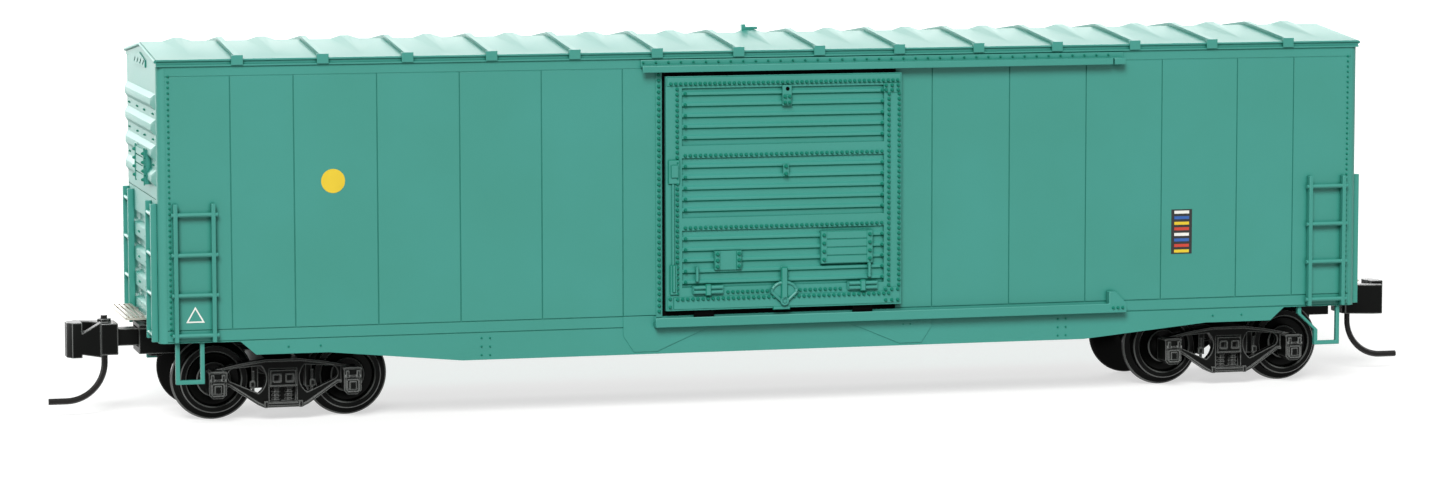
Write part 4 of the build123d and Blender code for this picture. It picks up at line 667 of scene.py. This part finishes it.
HANGER_BAR_INSET = 0.1
HANGER_BAR_RADIUS = 0.15
HANGER_PIN_HALF = 0.24
HANGER_PIN_Z = (8.5, 9.42)
HANGER_PIN_FACE = FITTING_FACE - 0.1
HANGER_PIN_PROUD = 0.3
HANGER_PIN_EDGE = 0.08
GRABS = ((-6.85, 9.66, 10.77), (7.25, 9.64, 10.77))  # x, lower and upper end
GRAB_RADIUS = 0.12
GRAB_Y = -CREST_FACE - 0.2
GRAB_FOOT_INSET = 0.12
GRAB_FOOT_HALF = 0.14
GRAB_FOOT_PROUD = 0.24
LEVER_X = 0.25
LEVER_Z = (7.7, 10.6)
LEVER_HALF = 0.27
LEVER_PROUD = 0.16
LEVER_EDGE = 0.08
LEVER_EYE_Z = 7.9
LEVER_EYE_RADIUS = 0.33
LEVER_EYE_SIDES = 20
LEVER_PIN_RADIUS = 0.14
LEVER_PIN_PROUD = 0.06
LEVER_PIN_SIDES = 12
CRANK_Z = 8.62
CRANK_WIDTH = 1.02
CRANK_HEIGHT = 0.765
CRANK_ANGLES = range(-90, 91, 20)
CRANK_BAR_RADIUS = 0.13
CRANK_BAR_SIDES = 8
ROD_X = -8.75
ROD_Y = -FRAME_FACE - 0.08
ROD_Z = (10.99, 17.34)
ROD_RADIUS = 0.1
LATCH_PROUD = 0.14
LATCH_PLATES = (  # x, z, face, thickness, edge
    ((-9.13, -8.2), (17.34, 19.24), FRAME_FACE, LATCH_PROUD, 0.05),  # latch
    ((-8.93, -8.35), (17.84, 18.84), FRAME_FACE + LATCH_PROUD, 0.1, PLATE_EDGE),  # its raised middle
    ((-9.03, -8.4), (8.61, 10.99), FRAME_FACE, LATCH_PROUD, 0.06),  # handle
    ((-8.85, -8.58), (8.81, 10.99), FRAME_FACE + LATCH_PROUD, 0.12, 0.06),  # its grip
    ((-0.62, 0.78), (7.2, 7.5), FRAME_FACE - 0.2, 0.28, 0.05),  # catch under the lever
)
EYE_FOOT_X = (0.2, 0.8)
EYE_FOOT_Z = (23.42, 24.2)
EYE_FOOT_PROUD = 0.06
EYE_FOOT_RIVETS = ((0.32, 23.58, 0.68, 23.58, 0.36), (0.32, 24.04, 0.68, 24.04, 0.36))
LINK_BOLTS = ((0.4, 17.95, 0.4, 18.55, 0.6),)
LINK_BOLT_SCALE = 1.2
HOLE_X = 0.53
HOLE_Z = 24.66
HOLE_RADIUS = 0.16
HOLE_PROUD = 0.02
HOLE_SIDES = 16


def door_plates(bm):
    """Top, kick and corner plates, straps and board of the front door."""
    plate(bm, TOP_PLATE_X, TOP_PLATE_Z, FRAME_FACE, EDGE_PLATE_PROUD)
    plate(bm, KICK_PLATE_X, KICK_PLATE_Z, FRAME_FACE, EDGE_PLATE_PROUD)
    for x, z in CORNER_PLATES:
        plate(bm, x, z, FRAME_FACE, CORNER_PROUD)
        left, right = x[0] + CORNER_RIVET_INSET, x[1] - CORNER_RIVET_INSET
        rows = [(left, row, right, row, CORNER_RIVET_PITCH)
                for row in (z[1] - CORNER_RIVET_INSET, z[0] + CORNER_RIVET_INSET)]
        side_rivets(bm, rows, FRAME_FACE + CORNER_PROUD)
    for middles, half, z, bolts in DOOR_STRAPS:
        step = (z[1] - z[0]) / bolts
        for x in middles:
            plate(bm, (x - half, x + half), z, FITTING_FACE, DOOR_STRAP_PROUD)
            side_rivets(bm, ((x, z[0] + step / 2, x, z[1] - step / 2, step),), FITTING_FACE + DOOR_STRAP_PROUD,
                        DOOR_STRAP_BOLT_SCALE)
    for z in planks(*DOOR_BOARD_Z, DOOR_BOARD_PLANKS, PLANK_GAP):
        plate(bm, DOOR_BOARD_X, z, FITTING_FACE, DOOR_BOARD_PROUD)


def door_rivets(bm):
    """Rivets of the front door's frame, plates and rib ends."""
    side_rivets(bm, FRAME_RIVETS, FRAME_FACE)
    side_rivets(bm, PLATE_RIVETS, FRAME_FACE + EDGE_PLATE_PROUD)
    for panel in range(DOOR_PANELS):
        low = RIB_FIRST_Z + panel * PANEL_PITCH
        high = low + (RIBS_PER_PANEL - 1) * RIB_PITCH
        side_rivets(bm, [(x, low, x, high, RIB_PITCH) for x in RIB_ENDS_X], CREST_FACE)


def door_latches(bm):
    """Hangers, grabs, lever with its crank, latch, handle and rod of the front door."""
    for left, right in HANGERS:
        middle = (left + right) / 2
        for z in HANGER_BARS_Z:
            bar(bm, (left + HANGER_BAR_INSET, -FITTING_FACE, z), (right - HANGER_BAR_INSET, -FITTING_FACE, z),
                HANGER_BAR_RADIUS)
        plate(bm, (middle - HANGER_PIN_HALF, middle + HANGER_PIN_HALF), HANGER_PIN_Z, HANGER_PIN_FACE,
              HANGER_PIN_PROUD, HANGER_PIN_EDGE)
    for x, low, high in GRABS:
        bar(bm, (x, GRAB_Y, low), (x, GRAB_Y, high), GRAB_RADIUS)
        for z in (low + GRAB_FOOT_INSET, high - GRAB_FOOT_INSET):
            plate(bm, (x - GRAB_FOOT_HALF, x + GRAB_FOOT_HALF), (z - GRAB_FOOT_HALF, z + GRAB_FOOT_HALF), FRAME_FACE,
                  GRAB_FOOT_PROUD)
    plate(bm, (LEVER_X - LEVER_HALF, LEVER_X + LEVER_HALF), LEVER_Z, FITTING_FACE, LEVER_PROUD, LEVER_EDGE)
    disc(bm, LEVER_X, LEVER_EYE_Z, LEVER_EYE_RADIUS, FITTING_FACE, LEVER_PROUD, LEVER_EYE_SIDES)
    disc(bm, LEVER_X, LEVER_EYE_Z, LEVER_PIN_RADIUS, FITTING_FACE + LEVER_PROUD, LEVER_PIN_PROUD, LEVER_PIN_SIDES)
    foot = (LEVER_X, LEVER_Z[0])
    crank = [(LEVER_X + CRANK_WIDTH * math.sin(a), CRANK_Z + CRANK_HEIGHT * math.cos(a))
             for a in map(math.radians, CRANK_ANGLES)]
    for (x0, z0), (x1, z1) in zip([foot] + crank, crank + [foot]):
        bar(bm, (x0, -FITTING_FACE, z0), (x1, -FITTING_FACE, z1), CRANK_BAR_RADIUS, CRANK_BAR_SIDES)
    for x, z, face, proud, edge in LATCH_PLATES:
        plate(bm, x, z, face, proud, edge)
    bar(bm, (ROD_X, ROD_Y, ROD_Z[0]), (ROD_X, ROD_Y, ROD_Z[1]), ROD_RADIUS)
    plate(bm, EYE_FOOT_X, EYE_FOOT_Z, FITTING_FACE, EYE_FOOT_PROUD)
    side_rivets(bm, EYE_FOOT_RIVETS, FITTING_FACE + EYE_FOOT_PROUD)
    side_rivets(bm, LINK_BOLTS, FITTING_FACE, LINK_BOLT_SCALE)


def hanger_hole_shadow(bm):
    """Painted shadow: a black disc for the hole of the eye at the top of the front door."""
    disc(bm, HOLE_X, HOLE_Z, HOLE_RADIUS, FITTING_FACE, HOLE_PROUD, HOLE_SIDES)


class BOXCAR_OT_doors(bpy.types.Operator):
    """Rounds the doors' edges and adds their plates, rivets and latches"""

    bl_idname = "boxcar.doors"
    bl_label = "Doors"

    def execute(self, context):
        width = context.scene.boxcar_moulding.edge_round
        lug_low, lug_high = (at(0, 0, z).z for z in LUGS_Z)
        for side, _ in SIDES:
            body = f"door_{side}"
            piece = finish_piece(f"{body}_moulded", softened_node(body, width), "paint", body, [body],
                                 painted_edge_light="shade")
            # Painted shade: lugs in the door's gaps are painted black, and rib undersides deeper teal.
            piece.data.materials.append(FINISHES["painted_shadow_black"])
            for face in piece.data.polygons:
                shadowed_lug = face.center.z > lug_high or face.center.z < lug_low
                face.material_index = 2 if shadowed_lug else int(face.normal.z < SHADED_UNDERSIDE)
        on_both(SIDES, "door_plates", door_plates, "paint", "door_{}")
        on_both(SIDES, "door_rivets", door_rivets, "paint", "door_{}")
        on_both(SIDES, "door_latches", door_latches, "paint", "door_{}")
        # The eye's hole is painted as a black disc.
        on_both(SIDES, "hanger_hole_shadow", hanger_hole_shadow, "painted_shadow_black", "door_{}")
        return {"FINISHED"}


# Front frame of a truck, with x from the truck's middle.
AXLES_X = (-5.25, 5.25)
LID_FACE = 7.47
BOX_FACE = 7.35
BOLSTER_FACE = 6.3
LID_LOOP = (2.1, 0.52, 0.12, LID_FACE, 0.1)  # z, half its width, line, face, thickness
LID_HINGE_HALF = 0.64
LID_HINGE_Z = 2.82
LID_HINGE_RADIUS = 0.12
AXLE_PLATES = (  # x from the axle, z, face, thickness
    ((-0.3, 0.3), (1.75, 2.45), LID_FACE, 0.12),  # boss of the lid
    ((-0.56, -0.28), (2.72, 3.3), BOX_FACE, 0.26),  # lugs of its hinge
    ((0.28, 0.56), (2.72, 3.3), BOX_FACE, 0.26),
    ((-0.72, 0.72), (3.32, 3.5), BOX_FACE - 0.7, 0.75),  # roof of the journal box
)
AXLE_PLATE_EDGE = 0.05
BOLSTER_LOOPS_X = (-0.5, 0.5)
BOLSTER_LOOP = (2.72, 0.36, 0.11, BOLSTER_FACE, 0.12)
BOLSTER_PLATES = (  # x, z, face, thickness, edge
    ((-1.51, -1.19), (0.42, 0.95), BOLSTER_FACE - 0.3, 0.42, 0.05),  # lugs on the lower chord
    ((1.19, 1.51), (0.42, 0.95), BOLSTER_FACE - 0.3, 0.42, 0.05),
    ((-1.05, 1.05), (2.05, 2.2), BOLSTER_FACE - 0.1, 0.22, 0.03),  # cap of the springs
    ((-1.15, 1.15), (0.72, 0.86), BOLSTER_FACE - 0.2, 0.3, 0.03),  # seat of the springs
)
LOOP_EDGE = 0.02
BRAKE_HANGERS_X = (-2.35, 2.35)
BRAKE_HANGER_Y = -5.85
BRAKE_HANGER_Z = (1.5, 3.3)
BRAKE_HANGER_LEAN = 0.96  # its top's x as a share of its foot's
BRAKE_HANGER_RADIUS = 0.12
BRAKE_SHOE_HALF = 0.22
BRAKE_SHOE_Z = (2.0, 2.5)
BRAKE_SHOE_FACE = 5.7
BRAKE_SHOE_PROUD = 0.32
BRAKE_SHOE_EDGE = 0.06


def square_loop(bm, x, z, half, line, base, proud):
    """Raised square outline on a face of the front side."""
    for side in (-1, 1):
        plate(bm, sorted((x + side * half, x + side * (half - line))), (z - half, z + half), base, proud, LOOP_EDGE)
        plate(bm, (x - half, x + half), sorted((z + side * half, z + side * (half - line))), base, proud, LOOP_EDGE)


def truck_fittings(bm):
    """Journal lids, bolster loops, brake hangers and chord lugs of a truck's front frame."""
    for axle in AXLES_X:
        square_loop(bm, axle, *LID_LOOP)
        bar(bm, (axle - LID_HINGE_HALF, -LID_FACE, LID_HINGE_Z), (axle + LID_HINGE_HALF, -LID_FACE, LID_HINGE_Z),
            LID_HINGE_RADIUS)
        for x, z, face, proud in AXLE_PLATES:
            plate(bm, (axle + x[0], axle + x[1]), z, face, proud, AXLE_PLATE_EDGE)
    for x in BOLSTER_LOOPS_X:
        square_loop(bm, x, *BOLSTER_LOOP)
    for x, z, face, proud, edge in BOLSTER_PLATES:
        plate(bm, x, z, face, proud, edge)
    low, high = BRAKE_HANGER_Z
    for x in BRAKE_HANGERS_X:
        bar(bm, (x, BRAKE_HANGER_Y, low), (x * BRAKE_HANGER_LEAN, BRAKE_HANGER_Y, high), BRAKE_HANGER_RADIUS)
        plate(bm, (x - BRAKE_SHOE_HALF, x + BRAKE_SHOE_HALF), BRAKE_SHOE_Z, BRAKE_SHOE_FACE, BRAKE_SHOE_PROUD,
              BRAKE_SHOE_EDGE)


class BOXCAR_OT_trucks(bpy.types.Operator):
    """Rounds the truck castings and adds their fittings"""

    bl_idname = "boxcar.trucks"
    bl_label = "Trucks"

    def execute(self, context):
        width = context.scene.boxcar_moulding.cast_round
        for end, _ in ENDS:
            name = f"truck_frame_{end}"
            # Rounds of the cast frames take a painted highlight.
            finish_piece(f"{name}_cast", softened_node(name, width), "acetal", f"truck_{end}",
                         [name], painted_edge_light="painted_highlight")
        on_trucks("truck_fittings", truck_fittings, "acetal")
        return {"FINISHED"}


# Half profile of a wheelset: radius and distance from the middle of the axle.
WHEEL_PROFILE = (
    (0.75, 3.5), (1.3, 3.7), (2.9, 3.75), (3.16, 3.8), (3.25, 3.95), (3.22, 4.12), (3.1, 4.22), (2.74, 4.3),
    (2.66, 4.4), (2.63, 5.08), (2.54, 5.19), (2.22, 5.19), (2.12, 5.1), (1.95, 4.86), (1.42, 4.76), (1.34, 4.98),
    (1.24, 5.06), (0.6, 5.06), (0.45, 5.14), (0.4, 5.3), (0.4, 5.85), (0.33, 5.94), (0.0, 5.94),
)
WHEELSETS = 4
WHEEL_HIGHLIGHT_RINGS = ((3.1, 3.24), (2.55, 2.63), (2.13, 2.2), (1.24, 1.34))  # radii of the rings on a wheel's front that take a painted highlight
WHEEL_FRONT = 4.1  # distance from the middle of the axle where that front starts
WHEEL_SMOOTH_EDGE = 30.0  # degrees


class BOXCAR_OT_wheels(bpy.types.Operator):
    """Turns the wheelsets from their profile"""

    bl_idname = "boxcar.wheels"
    bl_label = "Wheelsets"

    def execute(self, context):
        steps = context.scene.boxcar_moulding.wheel_steps
        profile = [(r, -y) for r, y in reversed(WHEEL_PROFILE)] + list(WHEEL_PROFILE)
        for number in range(1, WHEELSETS + 1):
            name = f"wheelset_{number}"
            low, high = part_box(name)
            centre = (low + high) / 2
            bm = bmesh.new()
            verts = [bm.verts.new(centre + Vector((r, y, 0.0)) * MM) for r, y in profile]
            edges = [bm.edges.new(pair) for pair in zip(verts, verts[1:])]
            bmesh.ops.spin(bm, geom=verts + edges, cent=centre, axis=(0, 1, 0), dvec=(0, 0, 0), angle=math.tau,
                           steps=steps, use_merge=True)
            bmesh.ops.remove_doubles(bm, verts=bm.verts, dist=SAME_POINT)
            bmesh.ops.recalc_face_normals(bm, faces=bm.faces)
            for face in bm.faces:
                middle = face.calc_center_median() - centre
                radius = math.hypot(middle.x, middle.z) / MM
                # Painted highlight: faces on these rings of the wheel's front take the second finish.
                highlight_ring = any(inner < radius < outer for inner, outer in WHEEL_HIGHLIGHT_RINGS)
                face.material_index = int(highlight_ring and abs(middle.y) > WHEEL_FRONT * MM)
            finish_piece(f"{name}_turned", bm, "wheel", name, [name],
                         smooth_below=WHEEL_SMOOTH_EDGE, painted_edge_light="painted_highlight")
        return {"FINISHED"}


class BOXCAR_OT_couplers(bpy.types.Operator):
    """Rounds the coupler castings"""

    bl_idname = "boxcar.couplers"
    bl_label = "Couplers"

    def execute(self, context):
        width = context.scene.boxcar_moulding.cast_round
        for end, _ in ENDS:
            for name in (f"coupler_{end}", f"knuckle_{end}"):
                # Rounds of the coupler castings take a painted highlight.
                finish_piece(f"{name}_cast", softened_node(name, width), "acetal", f"coupler_{end}",
                             [name], painted_edge_light="painted_highlight")
        return {"FINISHED"}


# Plain marks on the front side.
INK = 0.015  # thickness, more than real ink has so that it lies clear of the paint
DISC_MARK = (-35.51, 18.18, 0.93)  # x, z, radius
TRIANGLE_MARK = (-46.24, 7.97, 0.83)  # x, z, radius
TRIANGLE_LINE = 0.11
LABEL_X = (32.95, 34.72)
LABEL_Z = (10.63, 14.24)
LABEL_STRIPES = ("white", "blue", "yellow", "red", "white", "blue", "red", "yellow")  # inks from the top down
STRIPE_HEIGHT = 0.24
STRIPE_INSET = 0.25


def disc_mark(bm):
    """Blank round plate."""
    disc(bm, *DISC_MARK, SIDE_Y, INK)


def triangle_mark(bm):
    """Outline of a triangle, apex up."""
    x, z, radius = TRIANGLE_MARK
    place = Matrix.Translation(at(x, -SIDE_Y - INK, z)) @ facing((0, -1, 0))
    verts = bmesh.ops.create_circle(bm, cap_ends=True, segments=3, radius=radius * MM, matrix=place)["verts"]
    face = verts[0].link_faces[0]
    bmesh.ops.inset_region(bm, faces=[face], thickness=TRIANGLE_LINE * MM, use_boundary=True, use_even_offset=True)
    bmesh.ops.delete(bm, geom=[face], context="FACES")
    bmesh.ops.solidify(bm, geom=bm.faces[:], thickness=INK * MM)
    bmesh.ops.recalc_face_normals(bm, faces=bm.faces)


def label(bm):
    """Black label."""
    plate(bm, LABEL_X, LABEL_Z, SIDE_Y, INK, 0.0)


def label_stripes(bm, ink):
    """Plain stripes of one ink across the label."""
    step = (LABEL_Z[1] - LABEL_Z[0]) / len(LABEL_STRIPES)
    x = (LABEL_X[0] + STRIPE_INSET, LABEL_X[1] - STRIPE_INSET)
    for k, name in enumerate(LABEL_STRIPES):
        if name == ink:
            middle = LABEL_Z[1] - (k + 0.5) * step
            plate(bm, x, (middle - STRIPE_HEIGHT / 2, middle + STRIPE_HEIGHT / 2), SIDE_Y + INK, INK, 0.0)


class BOXCAR_OT_marks(bpy.types.Operator):
    """Lays plain generic marks on the sides"""

    bl_idname = "boxcar.marks"
    bl_label = "Plain marks"

    def execute(self, context):
        on_both(SIDES, "disc_mark", disc_mark, "ink_yellow")
        on_both(SIDES, "triangle_mark", triangle_mark, "ink_white")
        on_both(SIDES, "label", label, "ink_black")
        for ink in sorted(set(LABEL_STRIPES)):
            on_both(SIDES, f"label_stripes_{ink}", lambda bm: label_stripes(bm, ink), f"ink_{ink}")
        return {"FINISHED"}


# Stage, in metres

FLOOR_HALF = 4.0
FLOOR_GREY = "B9B9B8"  # the floor as the lamps light it
FLOOR_GLOW = 0.6  # what brings it up to white
LIT_Z = 15  # millimetres over the tread line that the lamps point at
LAMPS = (  # name, kind, strength or watts, place, size
    ("key_sun", "SUN", 3.5, (-0.35, -0.85, 0.75), {"angle": math.radians(28)}),
    ("back_box", "AREA", 9.6, (0.0, 0.85, 0.28), {"shape": "RECTANGLE", "size": 1.7, "size_y": 0.6}),
    ("end_box", "AREA", 3.4, (-0.55, 0.7, 0.12), {"shape": "RECTANGLE", "size": 0.6, "size_y": 0.4}),
)
SENSOR_WIDTH = 36.0  # millimetres
CLIP_NEAR = 0.01
CLIP_FAR = 20.0


def seen_rays(tree):
    """Value of 1 for what the camera sees, itself, in reflections or through glass, and 0 for light."""
    path = add_node(tree, "ShaderNodeLightPath").outputs
    seen = add_node(tree, "ShaderNodeMath", {
        0: path["Is Camera Ray"], 1: path["Is Glossy Ray"]}, operation="MAXIMUM").outputs["Value"]
    return add_node(tree, "ShaderNodeMath", {
        0: seen, 1: path["Is Transmission Ray"]}, operation="MAXIMUM").outputs["Value"]


def floor_material():
    """Plain white floor that stays white to the camera and keeps the car's shadow."""
    material, tree, out = new_material("White studio floor")
    shade = add_node(tree, "ShaderNodeBsdfDiffuse", {"Color": linear(FLOOR_GREY)})
    strength = add_node(tree, "ShaderNodeMapRange", {"Value": seen_rays(tree), "To Max": FLOOR_GLOW})
    glow = add_node(tree, "ShaderNodeEmission", {"Color": WHITE, "Strength": strength.outputs["Result"]})
    both = add_node(tree, "ShaderNodeAddShader", {0: shade.outputs["BSDF"], 1: glow.outputs["Emission"]})
    tree.links.new(both.outputs["Shader"], out.inputs["Surface"])
    return material


def studio_world(dim):
    """White surroundings: full white to the camera and in reflections, dim as light."""
    world = bpy.data.worlds.new("White studio")
    world.use_nodes = True
    tree = world.node_tree
    tree.nodes.clear()
    strength = add_node(tree, "ShaderNodeMapRange", {"Value": seen_rays(tree), "To Min": dim})
    back = add_node(tree, "ShaderNodeBackground", {"Color": WHITE, "Strength": strength.outputs["Result"]})
    add_node(tree, "ShaderNodeOutputWorld", {"Surface": back.outputs["Background"]})
    return world


def add_lamp(name, kind, energy, place, target, settings):
    """Lamp at place that looks at target."""
    light = bpy.data.lights.new(name, kind)
    light.energy = energy
    for key, value in settings.items():
        setattr(light, key, value)
    obj = bpy.data.objects.new(name, light)
    aim = (target - Vector(place)).to_track_quat("-Z", "Y").to_matrix().to_4x4()
    obj.matrix_world = Matrix.Translation(place) @ aim
    obj.visible_camera = False
    bpy.context.scene.collection.objects.link(obj)


class BOXCAR_OT_stage(bpy.types.Operator):
    """Sets the floor, the light and the camera at the photo's angle"""

    bl_idname = "boxcar.stage"
    bl_label = "Stage"

    def execute(self, context):
        scene = context.scene
        settings = scene.boxcar_stage
        bm = bmesh.new()
        bmesh.ops.create_grid(bm, x_segments=1, y_segments=1, size=FLOOR_HALF)
        bmesh.ops.translate(bm, vec=(0, 0, CAD_BOX[0][2]), verts=bm.verts)
        mesh = bpy.data.meshes.new("floor")
        bm.to_mesh(mesh)
        bm.free()
        floor = bpy.data.objects.new("floor", mesh)
        mesh.materials.append(floor_material())
        scene.collection.objects.link(floor)

        scene.world = studio_world(settings.surroundings)
        for name, kind, energy, place, size in LAMPS:
            add_lamp(name, kind, energy, place, at(0, 0, LIT_Z), size)

        camera = bpy.data.cameras.new("photo_camera")
        camera.sensor_fit = "HORIZONTAL"
        camera.sensor_width = SENSOR_WIDTH
        camera.lens = settings.lens
        camera.clip_start = CLIP_NEAR
        camera.clip_end = CLIP_FAR
        obj = bpy.data.objects.new("photo_camera", camera)
        az, el = settings.azimuth, settings.elevation
        ahead = Vector((math.sin(az) * math.cos(el), math.cos(az) * math.cos(el), -math.sin(el)))
        right = Vector((math.cos(az), -math.sin(az), 0.0))
        view = Matrix((right, right.cross(ahead), -ahead)).transposed().to_4x4()
        place = Vector(settings.camera_place) + Vector((0, 0, TREAD))
        obj.matrix_world = Matrix.Translation(place) @ view @ Matrix.Rotation(settings.roll, 4, "Z")
        scene.collection.objects.link(obj)
        scene.camera = obj
        scene.view_settings.view_transform = "Standard"
        return {"FINISHED"}


GROUPS = (BOXCAR_OT_finishes, BOXCAR_OT_shell, BOXCAR_OT_ends, BOXCAR_OT_doors, BOXCAR_OT_trucks, BOXCAR_OT_wheels,
          BOXCAR_OT_couplers, BOXCAR_OT_marks, BOXCAR_OT_stage)


class BOXCAR_PT_panel(bpy.types.Panel):
    """Lists the steps that dress the boxcar"""

    bl_idname = "BOXCAR_PT_panel"
    bl_label = "Boxcar"
    bl_space_type = "VIEW_3D"
    bl_region_type = "UI"
    bl_category = "Boxcar"

    def draw(self, context):
        for group in GROUPS:
            self.layout.operator(group.bl_idname)


CLASSES = (BoxcarMoulding, BoxcarColours, BoxcarStage) + GROUPS + (BOXCAR_PT_panel,)


def register():
    """Registers the classes and the scene's settings."""
    for cls in CLASSES:
        bpy.utils.register_class(cls)
    bpy.types.Scene.boxcar_moulding = PointerProperty(type=BoxcarMoulding)
    bpy.types.Scene.boxcar_colours = PointerProperty(type=BoxcarColours)
    bpy.types.Scene.boxcar_stage = PointerProperty(type=BoxcarStage)


def unregister():
    """Takes the settings and classes out again."""
    del bpy.types.Scene.boxcar_stage
    del bpy.types.Scene.boxcar_colours
    del bpy.types.Scene.boxcar_moulding
    for cls in reversed(CLASSES):
        bpy.utils.unregister_class(cls)


def main():
    """Dresses the car step by step."""
    register()
    bpy.ops.boxcar.finishes()
    bpy.ops.boxcar.shell()
    bpy.ops.boxcar.ends()
    bpy.ops.boxcar.doors()
    bpy.ops.boxcar.trucks()
    bpy.ops.boxcar.wheels()
    bpy.ops.boxcar.couplers()
    bpy.ops.boxcar.marks()
    bpy.ops.boxcar.stage()


if __name__ == "__main__":
    main()
